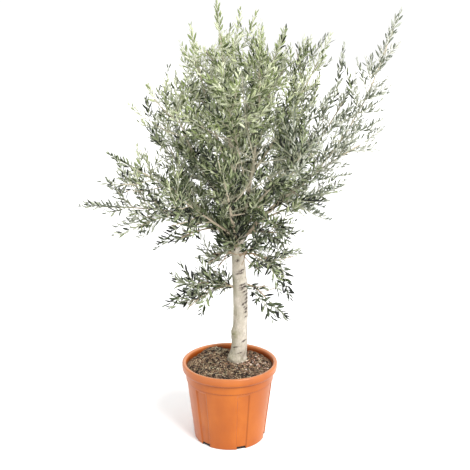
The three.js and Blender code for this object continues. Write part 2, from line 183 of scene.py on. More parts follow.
def addStep(tree, kind, inputs=None, **settings):  # a node of which only the first output is used
    return addNode(tree, kind, inputs, **settings).outputs[0]


def addMath(tree, operation, first, second):
    return addStep(tree, "ShaderNodeMath", {0: first, 1: second}, operation=operation)


def stored(tree, name, kind="FLOAT"):  # an attribute of the points, in a geometry tree
    return addStep(tree, "GeometryNodeInputNamedAttribute", {"Name": name}, data_type=kind)


def newGroup(name, kind, inputs, outputs):
    tree = bpy.data.node_groups.new(name, kind)
    for label, socket, value in inputs:
        made = tree.interface.new_socket(name=label, in_out="INPUT", socket_type="NodeSocket" + socket)
        if value is not None:
            made.default_value = value
    for label, socket in outputs:
        tree.interface.new_socket(name=label, in_out="OUTPUT", socket_type="NodeSocket" + socket)
    return tree, tree.nodes.new("NodeGroupInput").outputs, tree.nodes.new("NodeGroupOutput").inputs


def grown(source, tree, values):  # runs a geometry tree on an object and makes the result real
    modifier = source.modifiers.new(tree.name, "NODES")
    modifier.node_group = tree
    for socket in tree.interface.items_tree:
        if socket.in_out == "INPUT" and socket.name in values:
            modifier[socket.identifier] = values[socket.name]
    return settled(source)


def finishPiece(piece, nodes, material=None):
    if material:
        piece.data.materials.clear()
        piece.data.materials.append(material)
    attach(piece, "root")
    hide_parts(*nodes)
    print(piece.name + ":", len(piece.data.polygons), "faces")


# Camera, floor and light

view = {  # how the photo was taken
    "place": (0.0225, -3.0, 1.622),  # metres
    "pitch": 13.9,  # degrees downwards
    "focal": 764,  # pixels, as is the width
    "width": 470,
    "sensor": 36,  # millimetres
    "farthest": 200,
}
light = {
    "colour": (1, 1, 1, 1),
    "sky": 1.05,
    "from": (0.48, -0.6, 0.64),  # towards the key light, on the right in front
    "strength": 3.4,
    "softness": 26,  # degrees across
    "floor": (0.96, 0.96, 0.96, 1),
    "floorRoughness": 0.95,
    "floorGlow": 0.06,  # lifts the shadows on the floor
    "floorReach": 60,
}


def makeStage():
    camera = linkObject("camera", bpy.data.cameras.new("camera"))
    camera.location = view["place"]
    camera.rotation_euler = (math.radians(90 - view["pitch"]), 0, 0)
    camera.data.lens = view["focal"] / view["width"] * view["sensor"]
    camera.data.clip_end = view["farthest"]
    bpy.context.scene.camera = camera
    reach = light["floorReach"]
    corners = [(-reach, -reach, 0), (reach, -reach, 0), (reach, reach, 0), (-reach, reach, 0)]
    floor = meshObject("floor", corners, faces=[(0, 1, 2, 3)], scale=1)
    surface = plainMaterial("studioFloor", light["floor"], light["floorRoughness"])
    shader = surface.node_tree.nodes["Principled BSDF"]
    shader.inputs["Emission Color"].default_value = light["colour"]
    shader.inputs["Emission Strength"].default_value = light["floorGlow"]
    floor.data.materials.append(surface)
    lamp = bpy.data.lights.new("key", "SUN")
    lamp.angle = math.radians(light["softness"])
    lamp.energy = light["strength"]
    holder = linkObject("key", lamp)
    holder.rotation_euler = (-Vector(light["from"])).to_track_quat("-Z", "Y").to_euler()
    world = bpy.data.worlds.new("studio")
    world.use_nodes = True
    sky = world.node_tree.nodes["Background"].inputs
    sky["Color"].default_value = light["colour"]
    sky["Strength"].default_value = light["sky"]
    bpy.context.scene.world = world
    bpy.context.scene.view_settings.view_transform = "Standard"


# Colours

def linear(hexColour):
    channels = [(hexColour >> shift & 255) / 255 for shift in (16, 8, 0)]
    return (*[c / 12.92 if c <= 0.04045 else ((c + 0.055) / 1.055) ** 2.4 for c in channels], 1)


def newMaterial(name):
    material = bpy.data.materials.new(name)
    material.use_nodes = True
    return material, material.node_tree, material.node_tree.nodes["Principled BSDF"].inputs


def plainMaterial(name, colour, roughness, **sockets):
    material, _, shader = newMaterial(name)
    shader["Base Color"].default_value = colour
    shader["Roughness"].default_value = roughness
    for label, value in sockets.items():
        shader[label.replace("_", " ")].default_value = value
    return material


grainLook = {"roughness": 0.55, "finer": 9.0, "fineDetail": 5.0}


def buildGrain():  # coarse patches and fine grain in Object coordinates, that bark, plastic and soil all use
    inputs = [("Size", "Float", 0.02), ("Stretch", "Float", 1.0), ("Detail", "Float", 4.0)]
    outputs = [("Patches", "Float"), ("Grain", "Float")]
    tree, given, made = newGroup("grain", "ShaderNodeTree", inputs, outputs)
    place = addNode(tree, "ShaderNodeTexCoord").outputs["Object"]
    rate = addMath(tree, "DIVIDE", 1.0, given["Size"])
    squeeze = addMath(tree, "DIVIDE", 1.0, given["Stretch"])
    along = addStep(tree, "ShaderNodeCombineXYZ", {0: 1.0, 1: 1.0, 2: squeeze})
    drawn = addStep(tree, "ShaderNodeVectorMath", {0: place, 1: along}, operation="MULTIPLY")
    coarse = {"Scale": rate, "Detail": given["Detail"], "Roughness": grainLook["roughness"]}
    finer = {"Scale": addMath(tree, "MULTIPLY", rate, grainLook["finer"]), "Detail": grainLook["fineDetail"]}
    for label, inputs in (("Patches", coarse), ("Grain", finer)):
        noisy = addNode(tree, "ShaderNodeTexNoise", {"Vector": drawn, **inputs}).outputs["Fac"]
        tree.links.new(noisy, made[label])
    return tree


grainGroup = buildGrain()


def addGrain(tree, size, stretch=1.0, detail=4.0):
    group = addNode(tree, "ShaderNodeGroup", node_tree=grainGroup)
    for label, value in (("Size", size), ("Stretch", stretch), ("Detail", detail)):
        group.inputs[label].default_value = value
    return group.outputs["Patches"], group.outputs["Grain"]


def addRamp(tree, factor, stops):  # stops are places from 0 to 1 with a colour each
    ramp = addNode(tree, "ShaderNodeValToRGB", {"Fac": factor})
    points = ramp.color_ramp.elements
    while len(points) < len(stops):
        points.new(0.5)
    for point, (place, colour) in zip(points, stops):
        point.position = place
        point.color = linear(colour)
    return ramp.outputs["Color"]


def addMix(tree, factor, first, second, blend="MIX"):
    made = addNode(tree, "ShaderNodeMix", data_type="RGBA", blend_type=blend)
    for index, value in ((0, factor), (6, first), (7, second)):
        if isinstance(value, bpy.types.NodeSocket):
            tree.links.new(value, made.inputs[index])
        else:
            made.inputs[index].default_value = value
    return made.outputs[2]


def addRange(tree, value, low, high, to=(0.0, 1.0)):
    inputs = {"Value": value, "From Min": low, "From Max": high, "To Min": to[0], "To Max": to[1]}
    return addNode(tree, "ShaderNodeMapRange", inputs).outputs["Result"]


def addAttribute(tree, name):
    return addNode(tree, "ShaderNodeAttribute", attribute_name=name).outputs["Fac"]


def addBump(tree, shader, height, strength, depth):
    bump = addNode(tree, "ShaderNodeBump", {"Height": height, "Strength": strength, "Distance": depth})
    tree.links.new(bump.outputs["Normal"], shader["Normal"])


# Lines of growth, in millimetres from the trunk's foot

up = np.array([0.0, 0.0, 1.0])
sideways = np.array([1.0, 0.0, 0.0])
foot = np.array([36.0, 58.0, 312.3])
upright = 0.9  # a line that climbs more steeply than this takes its sides from the x axis

trunk = {
    "height": 538,
    "lean": (-10, -10),
    "bow": (15, 4),
    "radius": 30.5,
    "topRadius": 23,
    "flare": 11,
    "flareHeight": 46,
    "roots": 4,
    "rootShares": (0.55, 0.9),  # of the flare between the roots, and what a root adds
    "firstRoot": math.radians(195),
    "narrowsFrom": 0.65,
    "ripple": 0.03,
    "dome": 9,
    "steps": 16,
}

# name, parent, share of the parent, heading, reach, height of the tip, climb, bare share, base radius
limbs = [
    ("centre", "trunk", 0.99, 185, 84, 1450, 88, 0.38, 15),
    ("left", "trunk", 0.9, 192, 515, 883, 58, 0.4, 11.5),
    ("front", "trunk", 0.96, 318, 110, 1393, 72, 0.38, 9),
    ("right", "trunk", 0.95, 352, 572, 985, 52, 0.34, 11.5),
    ("back", "trunk", 0.93, 84, 450, 978, 56, 0.36, 11.5),
    ("fore", "trunk", 0.87, 262, 440, 903, 52, 0.36, 10.5),
    ("left_far", "left", 0.72, 180, 624, 668, 12, 0.2, 6.5),
    ("left_low", "left", 0.84, 198, 498, 576, 8, 0.18, 6),
    ("left_under", "left", 0.5, 207, 345, 524, 6, 0.2, 6),
    ("left_shoulder", "left", 0.93, 166, 350, 1005, 62, 0.2, 6.5),
    ("left_high", "centre", 0.3, 200, 288, 1190, 48, 0.32, 8),
    ("top_left", "centre", 0.66, 152, 205, 1356, 64, 0.28, 7.5),
    ("top_right", "front", 0.88, 38, 200, 1338, 60, 0.22, 5),
    ("right_top", "centre", 0.52, 350, 350, 1343, 52, 0.32, 8),
    ("right_shoot", "right", 0.8, 358, 600, 1412, 34, 0.22, 6.5),
    ("right_high", "right", 0.95, 14, 500, 1188, 50, 0.18, 6),
    ("right_low", "right", 0.55, 8, 438, 764, 20, 0.2, 6.5),
    ("right_under", "right", 0.3, 338, 268, 572, 8, 0.2, 6.5),
    ("fore_right", "front", 0.35, 308, 440, 978, 42, 0.3, 6.5),
    ("fore_high", "front", 0.68, 258, 310, 1248, 58, 0.26, 6),
    ("fore_left", "fore", 0.6, 228, 440, 828, 34, 0.2, 7),
    ("back_right", "back", 0.45, 44, 450, 888, 34, 0.24, 7.5),
    ("back_left", "back", 0.7, 128, 450, 878, 36, 0.22, 7),
    ("back_high", "back", 0.92, 92, 320, 1258, 66, 0.2, 6.5),
    ("inner_left", "trunk", 0.97, 222, 200, 818, 66, 0, 5),
    ("inner_right", "trunk", 0.97, 24, 240, 778, 58, 0, 5),
    ("low_back", "trunk", 0.9, 108, 340, 603, 24, 0, 5),
    ("low_front", "trunk", 0.86, 290, 258, 593, 24, 0, 5),
    ("skirt_left", "trunk", 0.58, 190, 268, 330, 36, 0, 5),
    ("skirt_left_up", "trunk", 0.88, 178, 195, 412, 16, 0, 5),
    ("skirt_right", "trunk", 0.86, 346, 236, 345, 30, 0, 5),
    ("skirt_right_low", "trunk", 0.64, 322, 212, 232, 14, 0, 4.5),
]


def direction(heading, climb):
    h, c = math.radians(heading), math.radians(climb)
    return np.array([math.cos(h) * math.cos(c), math.sin(h) * math.cos(c), math.sin(c)])


def clearOf(along):  # an axis that runs well across a way
    return sideways if abs(along[2]) > upright else up


def turnedFrom(along, angle, turn):  # a way that leaves a line at an angle, on the side that the turn gives
    side = unit(cross(along, clearOf(along)))
    other = cross(along, side)
    a, t = math.radians(angle), math.radians(turn)
    return along * math.cos(a) + side * (math.sin(a) * math.cos(t)) + other * (math.sin(a) * math.sin(t))


def pointOn(line, share):
    place = share * (len(line) - 1)
    index = min(math.floor(place), len(line) - 2)
    along = line[index + 1] - line[index]
    return line[index] + along * (place - index), unit(along)


def lengthOf(line):
    return np.linalg.norm(np.diff(line, axis=0), axis=1).sum()


def trunkMiddle(height):
    share = height / trunk["height"]
    middle = math.sin(math.pi * share)
    return np.array([
        trunk["lean"][0] * share + trunk["bow"][0] * middle,
        trunk["lean"][1] * share + trunk["bow"][1] * middle,
        height,
    ])


trunkHeights = [trunk["height"] * step / trunk["steps"] for step in range(trunk["steps"] + 1)]
trunkLine = np.array([trunkMiddle(height) for height in trunkHeights])


def limbPoints(start, knee, tip, shares):  # even points along a bent limb, and its length
    t = np.linspace(0, 1, 201)
    way = bent(start, knee, tip, t[:, None])
    run = np.concatenate([[0], np.cumsum(np.linalg.norm(np.diff(way, axis=0), axis=1))])
    t = np.interp(np.asarray(shares) * run[-1], run, t)
    return bent(start, knee, tip, t[:, None]), run[-1]


spray = {  # one of the solids' leaves, which stands for a shoot
    "length": 130,
    "width": 42,
    "belly": 0.42,  # where it is widest, as a share of its length
    "sunk": 0.6,
    "overhang": 0.8,  # share of the last one that reaches past its stem
    "neck": 0.12,
}
wood = {
    "gap": 0.3,  # between a bough and the stem that carries it on
    "taper": 0.6,
    "stemTip": 2.3,
    "twigTip": 1.8,
    "twigStart": 0.55,  # of the stem's radius there
    "knee": 0.48,
}


def planLimbs():
    lines = {"trunk": trunkLine}
    found = []
    for index, (name, parent, at, heading, reach, height, climb, share, base) in enumerate(limbs):
        start = pointOn(lines[parent], at)[0]
        tip = direction(heading, 0) * reach + up * height
        chord = tip - start
        bearing = math.degrees(math.atan2(chord[1], chord[0]))
        knee = start + direction(bearing, climb) * (math.sqrt(chord @ chord) * wood["knee"])
        length = limbPoints(start, knee, tip, [0, 1])[1]
        stemStart = share + wood["gap"] / length if share else 0
        stemEnd = 1 - spray["length"] * spray["overhang"] / length
        lines[name] = limbPoints(start, knee, tip, np.linspace(0, share, 5))[0]
        found.append({
            "name": name,
            "parent": parent,
            "index": index,
            "share": share,
            "climb": climb,
            "base": base,
            "tipRadius": base * wood["taper"] if share else base,
            "bough": lines[name],
            "stem": limbPoints(start, knee, tip, np.linspace(stemStart, stemEnd, 4))[0],
            "whole": (start, knee, tip),
            "stemEnd": stemEnd,
            "length": length,
        })
    return found


plans = planLimbs()
massNames = ["foliage_" + plan["name"] for plan in plans]
bareLimbs = [plan for plan in plans if plan["share"]]


# A mass keeps to the points nearer to its own stem than to any other, and off the limbs

def stackLines(lines):
    starts = np.concatenate([line[:-1] for line in lines])
    spans = np.concatenate([np.diff(line, axis=0) for line in lines])
    return starts, spans, np.cumsum([0] + [len(line) - 1 for line in lines[:-1]])


def distances(points, stack):  # one row for each point, one column for each line
    starts, spans, firsts = stack
    offset = points[:, None] - starts
    share = np.clip((offset * spans).sum(2) / (spans * spans).sum(1), 0, 1)
    return np.minimum.reduceat(np.linalg.norm(offset - share[..., None] * spans, axis=2), firsts, axis=1)


stemStack = stackLines([plan["stem"] for plan in plans])
boughStack = stackLines([plan["bough"] for plan in bareLimbs])
boughBases = np.array([plan["base"] for plan in bareLimbs])
trunkStack = stackLines([trunkLine])


def isFree(points, plan, margin, limbMargin=None):
    points = np.asarray(points)
    off = margin if limbMargin is None else limbMargin
    toStems = distances(points, stemStack)
    own = toStems[:, plan["index"]].copy()
    toStems[:, plan["index"]] = np.inf
    clear = (toStems >= (own + margin)[:, None]).all()
    clear = clear and (distances(points, boughStack) >= boughBases + off).all()
    return bool(clear and (distances(points, trunkStack) >= trunk["radius"] + off).all())


# The growing rule, as the solids have it. Of two shares of a length, here and below,
# the first is the least and the second what a draw may add to it

rule = {
    "seed": 4217,
    "massStep": 7919,  # between the seeds of two masses, then of two twigs
    "twigStep": 101,
    "stemSeed": 97,
    "goldenAngle": 137.5,
    "fewestTwigs": 1.6,
    "lowTwigs": 1,
    "twigEvery": 145,
    "twigPlace": 0.6,  # how much of its stretch of stem a twig may slip along
    "twigsFrom": (0.08, 0.86),  # shares of the stem that bear twigs
    "twigAngles": (62, 38),  # at the first twig and at the last
    "twigAngleSwing": 12,
    "twigReaches": (175, 125),
    "twigReachShares": (0.8, 0.4),
    "twigRoom": 5,  # how clear a twig stays of other masses
    "cutBack": (1, 0.75, 0.5, 0.3),
    "twigLift": 0.25,
    "sprayEvery": 45,
    "sprayAngle": 44,
    "sprayAngleSwing": 16,
    "sprayShares": (0.8, 0.35),
    "firstSpray": (0.1, 0.35),  # share of a stem, and of a twig
    "lastSpray": 0.94,
    "sprayRoom": 3,
    "sprayLift": 0.2,
    "turns": (0, 72, 144, 216, 288),
    "facesUp": 0.5,
    "twist": 70,
}


def bentLine(start, way, length, lift, steps):
    line = [start]
    for _ in range(steps):
        line.append(line[-1] + way * (length / steps))
        way = unit(way + up * lift)
    return np.array(line)


def twigsUp(plan):
    stem = plan["stem"]
    fewest = rule["fewestTwigs"] + (0 if plan["share"] else rule["lowTwigs"])
    count = math.floor(fewest + lengthOf(stem) / rule["twigEvery"] + 0.5)
    found = []
    for i in range(count):
        seed = rule["seed"] + rule["massStep"] * plan["index"] + rule["twigStep"] * i
        random = randomStream(seed)
        share = lerp(*rule["twigsFrom"], (i + rule["twigPlace"] * random()) / count)
        point, along = pointOn(stem, share)
        angle = lerp(*rule["twigAngles"], share) + swing(random, rule["twigAngleSwing"])
        heading = turnedFrom(along, angle, 360 * random() + i * rule["goldenAngle"])
        reach = lerp(*rule["twigReaches"], share) * atLeast(random, *rule["twigReachShares"])
        tries = (bentLine(point, heading, reach * cut, rule["twigLift"], 2) for cut in rule["cutBack"])
        line = next((tried for tried in tries if isFree(tried[1:], plan, rule["twigRoom"])), None)
        radius = lerp(plan["tipRadius"], wood["stemTip"], share) * wood["twigStart"]
        if line is not None:
            found.append({"line": line, "radius": radius, "random": random})
    return found


def leafOn(point, way, length, twist):
    face = unit(np.array([point[0], point[1], 0.0])) + up * rule["facesUp"]
    face = unit(face - way * (face @ way))
    turn = math.radians(twist)
    face = face * math.cos(turn) + cross(way, face) * math.sin(turn)
    return {"root": point - way * spray["sunk"], "way": way, "length": length, "face": face}


def cornersOf(leaf):
    side = cross(leaf["way"], leaf["face"]) * (spray["width"] / 2)
    belly = leaf["root"] + leaf["way"] * (leaf["length"] * spray["belly"])
    tip = leaf["root"] + leaf["way"] * leaf["length"]
    return leaf["root"], tip, belly, belly + side, belly - side


def segments(line):
    return np.stack([line[:-1], line[1:]], axis=1)


def runsThrough(pieces, faces):  # whether any stretch of line runs through any three-cornered face
    if not len(pieces) or not len(faces):
        return False
    start, way = pieces[:, None, 0], pieces[:, None, 1] - pieces[:, None, 0]
    corner, first, second = faces[:, 0], faces[:, 1] - faces[:, 0], faces[:, 2] - faces[:, 0]
    normal = np.cross(first, second)
    facing = (way * normal).sum(2)
    facing = np.where(facing == 0, np.nan, facing)
    offset = start - corner
    u = (way * np.cross(offset, second)).sum(2) / facing
    v = (way * np.cross(first, offset)).sum(2) / facing
    t = -(offset * normal).sum(2) / facing
    return bool(((u >= 0) & (v >= 0) & (u + v <= 1) & (t >= 0) & (t < 1)).any())


def makeRoom(plan, woodLines):  # takes a spray only where it leaves no space and crosses nothing
    woodPieces = np.concatenate([segments(line) for line in woodLines])
    kept, outlines, faces = [], np.zeros((0, 2, 3)), np.zeros((0, 3, 3))

    def take(leaf):
        nonlocal outlines, faces
        root, tip, belly, left, right = cornersOf(leaf)
        if not isFree([tip, belly, left, right, (tip + belly) / 2], plan, rule["sprayRoom"]):
            return False
        neck = lerp(root, tip, spray["neck"])
        own = segments(np.array([neck, left, tip, right, neck, tip]))
        ownFaces = np.array([[neck, left, right], [tip, left, right]])
        if runsThrough(own, faces) or runsThrough(outlines, ownFaces) or runsThrough(woodPieces, ownFaces):
            return False
        outlines, faces = np.concatenate([outlines, own]), np.concatenate([faces, ownFaces])
        kept.append(leaf)
        return True

    return kept, take


def spraysAlong(line, start, random, take):
    count = math.floor(lengthOf(line) * (1 - start) / rule["sprayEvery"] + 0.5)
    first = 360 * random()
    for i in range(count):
        point, along = pointOn(line, lerp(start, rule["lastSpray"], (i + 0.5 * random()) / count))
        angle = rule["sprayAngle"] + swing(random, rule["sprayAngleSwing"])
        length = spray["length"] * atLeast(random, *rule["sprayShares"])
        twist = swing(random, rule["twist"])
        for turn in rule["turns"]:
            way = turnedFrom(along, angle, first + turn + i * rule["goldenAngle"])
            if take(leafOn(point, unit(way + up * rule["sprayLift"]), length, twist)):
                break
    point, along = pointOn(line, 1)
    take(leafOn(point - along, along, spray["length"], swing(random, rule["twist"])))


# The rule carried on: each spray becomes a shoot with leaves in pairs, and finer shoots fill in between

shoot = {
    "seed": 90121,
    "massStep": 611,
    "sprayShare": 0.82,  # of a spray's length is shoot, and its last leaves reach on to the tip
    "radius": 1.4,
    "tipRadius": 0.5,
    "step": 24,
    "lift": 0.14,  # how fast a shoot turns up, where its bough climbs straight up
    "liftRange": (0.15, 0.85),  # of that on a level bough, and what a climb adds
    "lowLift": 0.1,  # on the masses straight out of the trunk
    "curl": 0.06,
    "lastPlace": 0.97,  # no shoot or leaf grows nearer to the end of its twig
}
leafPair = {
    "every": (22.5, 16.5),  # low on the tree and above
    "everyFrom": (300, 600),  # the heights between which it changes
    "length": (44, 33),
    "lengthFrom": (150, 900),
    "shares": (0.84, 0.32),
    "angle": (48, 22),  # degrees off the shoot at its foot, and at its tip
    "angleSwing": 16,
    "turnSwing": 24,
    "lift": 0.35,
    "facing": (0.5, 0.45, 0.6),  # how far a leaf faces along its shoot, up and outwards
    "roll": 130,  # how far the leaves turn about their own length
    "first": (0.14, 0.1),  # share of a shoot, and of a side shoot
    "paleShare": 0.47,  # of the leaves have the second colour of their tone
}
sideShoot = {
    "count": 1.45,
    "length": 54,
    "shares": (0.7, 0.6),
    "angle": 34,
    "angleSwing": 16,
    "from": (0.12, 0.62),
    "radius": 0.7,  # of the radius of the shoot that it leaves
    "leaves": 0.92,
}
filler = {  # shoots straight out of stems and twigs, where there is room
    "every": 29,
    "from": (0.12, 0.25),  # share of a stem, and of a twig
    "length": 105,
    "shares": (0.6, 0.6),
    "used": 0.8,
    "angle": 42,
    "angleSwing": 20,
    "room": (-20, 2),  # how clear it stays of other masses, where it may pass a little, and of limbs
    "radius": 1.2,
}
woodLeaf = {  # pairs of leaves on the wood itself
    "every": 22,
    "from": (0.3, 0.2),
    "kept": 0.6,
    "angle": 52,
    "size": 0.95,
}
spur = {  # short shoots on the bare limbs
    "every": 30,
    "length": 74,
    "shares": (0.6, 0.8),
    "angle": 48,
    "angleSwing": 20,
    "lift": 0.45,
    "radius": 1.3,
    "start": (34, 0.4),  # on a limb of the trunk, and the share of that on other limbs
}
leader = {"radius": 1.6, "lift": (1, 2.0), "bend": (0.12, 0.04)}  # the long shoots, rising and level
collar = {"heights": (466, 542), "shoots": 44, "shares": (0.7, 0.9), "climb": (-0.1, 1.1), "lift": 0.3}
inView = {  # what the shoots in front leave in view, with boxes in pixels as in openings below
    "trunkBox": (229, 251, 249, 345),
    "front": -14,  # only shoots nearer to the camera than this count
    "twigBox": (200, 70, 292, 222),
    "twigRoom": 2.0,  # pixels that the leaves in front keep off a pale twig
    "behind": 6,
    "limb": (0.28, 0.46),  # the stretch of the front limb that shows too
}
tones = {  # how light the leaves of a shoot are, by its place: paler young growth higher up, and painted shade low down, outside and on the right
    "lowest": 300,
    "span": 1100,
    "leastHeight": 0.1,
    "radius": 600,
    "rightSide": 500,
    "height": 0.7,
    "outward": 0.12,
    "right": 0.04,
    "draw": 0.6,
    "silverRight": 0.5,
    "silverDraw": 0.5,
    "silverFrom": 1.14,
    "silver": 9,  # stands for the silvery tone, past all others
}
leafiness = {  # how full a mass is, where it isn't 1
    "right_shoot": 0.2,
    "right_high": 0.35,
    "right_low": 0.4,
    "right_under": 0.4,
    "right_top": 0.75,
    "right": 0.7,
    "left_far": 0.36,
    "left_low": 0.05,
    "left_under": 0.12,
    "left_shoulder": 0.4,
    "left_high": 0.4,
    "left": 0.55,
    "top_left": 0.6,
    "top_right": 0.6,
    "front": 0.85,
    "low_front": 0.25,
    "low_back": 0.5,
    "skirt_left": 0.85,
    "skirt_left_up": 0.45,
    "skirt_right": 0.3,
    "skirt_right_low": 0.25,
}
thinned = {  # share of a mass's twigs that are left out
    "right_shoot": 0.75,
    "left_under": 0.4,
    "right_high": 0.3,
    "skirt_right_low": 0.5,
}
leaders = [  # single long shoots: x and y in the photo where each starts, the same for its tip, depth in mm
    (356, 106, 345, 67, 60), (364, 92, 359, 61, 20), (331, 92, 344, 45, 70), (145, 175, 139, 147, 20),
    (165, 150, 143, 124, 0), (170, 132, 154, 70, -30), (202, 60, 192, 27, 50), (215, 40, 217, 2, 60),
    (238, 45, 245, 12, 0), (250, 50, 257, 14, 50), (268, 62, 282, 35, 30), (300, 68, 325, 35, 60),
    (196, 290, 169, 306, -10), (210, 292, 203, 312, -30), (278, 262, 291, 296, -20),
    (262, 312, 284, 318, -40), (270, 145, 312, 71, -80), (375, 66, 391, 29, 45),
    (387, 38, 401, 12, 45), (374, 76, 388, 60, 45), (290, 125, 306, 82, 0), (300, 130, 319, 90, -40),
    (312, 135, 327, 82, 50), (318, 125, 336, 86, 0), (305, 115, 318, 76, 80), (322, 150, 339, 112, 20),
    (336, 130, 352, 100, 40), (298, 152, 304, 104, 40), (308, 160, 322, 120, -40),
    (318, 168, 337, 134, 50), (280, 130, 292, 84, 60), (272, 150, 284, 108, -20),
    (286, 160, 296, 124, 80), (206, 172, 200, 130, 30), (214, 178, 206, 138, -50),
    (205, 292, 180, 268, 20), (215, 285, 200, 262, 0), (268, 262, 286, 292, 0),
    (268, 262, 280, 290, -50), (232, 296, 214, 284, 0), (231, 246, 214, 233, -20),
    (234, 243, 221, 219, -30), (238, 243, 237, 214, -40), (243, 243, 254, 224, -20),
    (227, 239, 205, 223, -30), (232, 249, 224, 229, -50), (240, 247, 247, 230, -50),
    (223, 236, 211, 213, -50), (236, 236, 228, 205, -60), (246, 236, 259, 213, -40),
    (229, 243, 219, 240, -60), (237, 240, 243, 222, -70), (220, 232, 204, 214, -20),
    (233, 232, 221, 208, -80), (233, 226, 226, 206, -130), (230, 212, 236, 190, -200),
    (229, 204, 222, 186, -240), (226, 190, 231, 168, -300), (232, 222, 240, 202, -120),
    (227, 197, 218, 178, -270), (231, 216, 222, 198, -180), (239, 236, 247, 216, 0),
    (241, 226, 236, 206, -20), (243, 216, 252, 198, -30), (245, 206, 240, 190, -40),
    (262, 217, 278, 205, 20), (268, 211, 284, 200, 15), (272, 208, 266, 196, 20),
    (266, 213, 282, 212, 0), (276, 203, 290, 205, 10), (256, 304, 276, 316, -40),
    (258, 298, 272, 319, -20), (368, 82, 384, 62, 30), (364, 78, 372, 58, 30), (296, 125, 312, 96, 20),
    (284, 80, 291, 47, 20), (294, 78, 307, 50, 0), (150, 180, 145, 158, -10),
    (148, 128, 146, 100, -20),
]
combs = [  # the same for long shoots that run nearly level, with leaves that stand up from them
    (358, 98, 386, 92, 30), (343, 121, 381, 104, 20), (334, 139, 382, 122, 0),
    (318, 154, 373, 142, -20), (308, 167, 357, 158, 30), (304, 183, 347, 175, 0),
    (300, 194, 344, 190, -30), (290, 203, 327, 222, 0), (296, 198, 322, 207, 60),
    (166, 208, 116, 233, -20), (174, 212, 139, 237, -60), (188, 222, 159, 249, -30),
    (134, 208, 80, 206, 0), (150, 180, 109, 155, -20), (292, 207, 318, 214, 0),
    (288, 201, 319, 203, -30), (352, 113, 380, 112, 20), (345, 129, 380, 132, 0),
    (334, 133, 360, 124, -20),
]
paleTwigs = [  # bare twigs in front of the crown: points in the photo, depth, and thickness at both ends
    ([(254.5, 160), (250, 142), (246, 124), (244, 100), (242, 76)], -4, 3.4, 1.6),
    ([(254, 160), (241, 152), (228, 142), (214, 134)], -10, 2.4, 1.2),
    ([(252, 172), (243, 169), (232, 167)], -12, 2.2, 1.2),
    ([(254, 164), (270, 161), (286, 159)], -12, 2.4, 1.2),
    ([(255, 158), (263, 147), (273, 137)], -10, 2.2, 1.1),
    ([(251, 190), (268, 180), (284, 169)], -8, 2.2, 1.1),
    ([(250, 187), (236, 197), (221, 204)], -10, 2.2, 1.1),
    ([(248, 206), (238, 210), (228, 214)], -5, 2.0, 1.1),
]
openings = [  # where sky shows: left, top, right and bottom, in pixels of the photo
    (196, 8, 214, 52), (225, 0, 238, 20), (263, 16, 278, 46), (290, 10, 316, 34), (349, 8, 384, 48),
    (402, 18, 470, 140), (387, 96, 470, 300), (266, 202, 290, 217), (245, 222, 254, 246),
    (200, 230, 218, 242), (158, 56, 172, 84), (130, 84, 145, 102), (88, 158, 106, 184),
    (298, 238, 340, 310), (262, 276, 276, 308), (236, 318, 262, 340), (176, 308, 230, 350),
    (130, 312, 176, 350), (150, 268, 172, 298), (172, 246, 194, 264), (152, 220, 174, 232),
    (120, 240, 156, 300),
]
leafShape = {
    "width": 0.235,  # of its length
    "sections": [(0.1, 0.12), (0.42, 0.95), (0.76, 0.74)],  # share of the length, and of the half width
    "fold": 0.022,  # how far the midrib lies under the edges
    "thick": 0.016,
    "droops": (0.03, 0.09, -0.03),  # how far the tip bends back, for each of three shapes
}
leafRows = []  # tone, place, way, face, size, shape and whether it has the second colour
shootPaths = []


def photoPlace(point):  # where a point of the plant's frame falls in the photo, in pixels
    across, away, rise = (point + foot) * mm - view["place"]
    pitch = math.radians(view["pitch"])
    scale = view["focal"] / (away * math.cos(pitch) - rise * math.sin(pitch))
    down = away * math.sin(pitch) + rise * math.cos(pitch)
    return view["width"] / 2 + scale * across, view["width"] / 2 - scale * down


def fromPhoto(spot, depth):  # the point of the plant's frame that shows at a spot of the photo
    pitch = math.radians(view["pitch"])
    middle = view["width"] / 2
    across, above = (spot[0] - middle) / view["focal"], (middle - spot[1]) / view["focal"]
    away, rise = math.cos(pitch) + above * math.sin(pitch), above * math.cos(pitch) - math.sin(pitch)
    point = view["place"] + np.array([across, away, rise]) * (depth * mm - view["place"][1]) / away
    return np.round(point / mm - foot)


def inBox(spot, box):
    left, top, right, bottom = box
    return left < spot[0] < right and top < spot[1] < bottom


def isOpen(point):  # whether the photo shows sky there
    spot = photoPlace(point)
    return any(inBox(spot, box) for box in openings)


def hidesTrunk(root, tip):  # whether a shoot would cross the trunk's bare front
    spots = [lerp(root, tip, share) for share in np.linspace(0, 1, 5)]
    return any(spot[1] < inView["front"] and inBox(photoPlace(spot), inView["trunkBox"]) for spot in spots)


def lightAt(point, random):  # higher shoots get paler leaves, partly young growth and partly painted shade below; outer and right-hand ones are a little darker, painted shade against the key light; the outermost are silvery
    height = max(tones["leastHeight"], (point[2] - tones["lowest"]) / tones["span"])
    outward = math.hypot(point[0], point[1]) / tones["radius"]
    right = max(0, point[0] / tones["rightSide"])
    draw = random()
    if outward + tones["silverRight"] * right + tones["silverDraw"] * draw > tones["silverFrom"]:
        return tones["silver"]
    tone = tones["height"] * height - tones["outward"] * outward - tones["right"] * right
    return tone + tones["draw"] * (draw - 0.5)


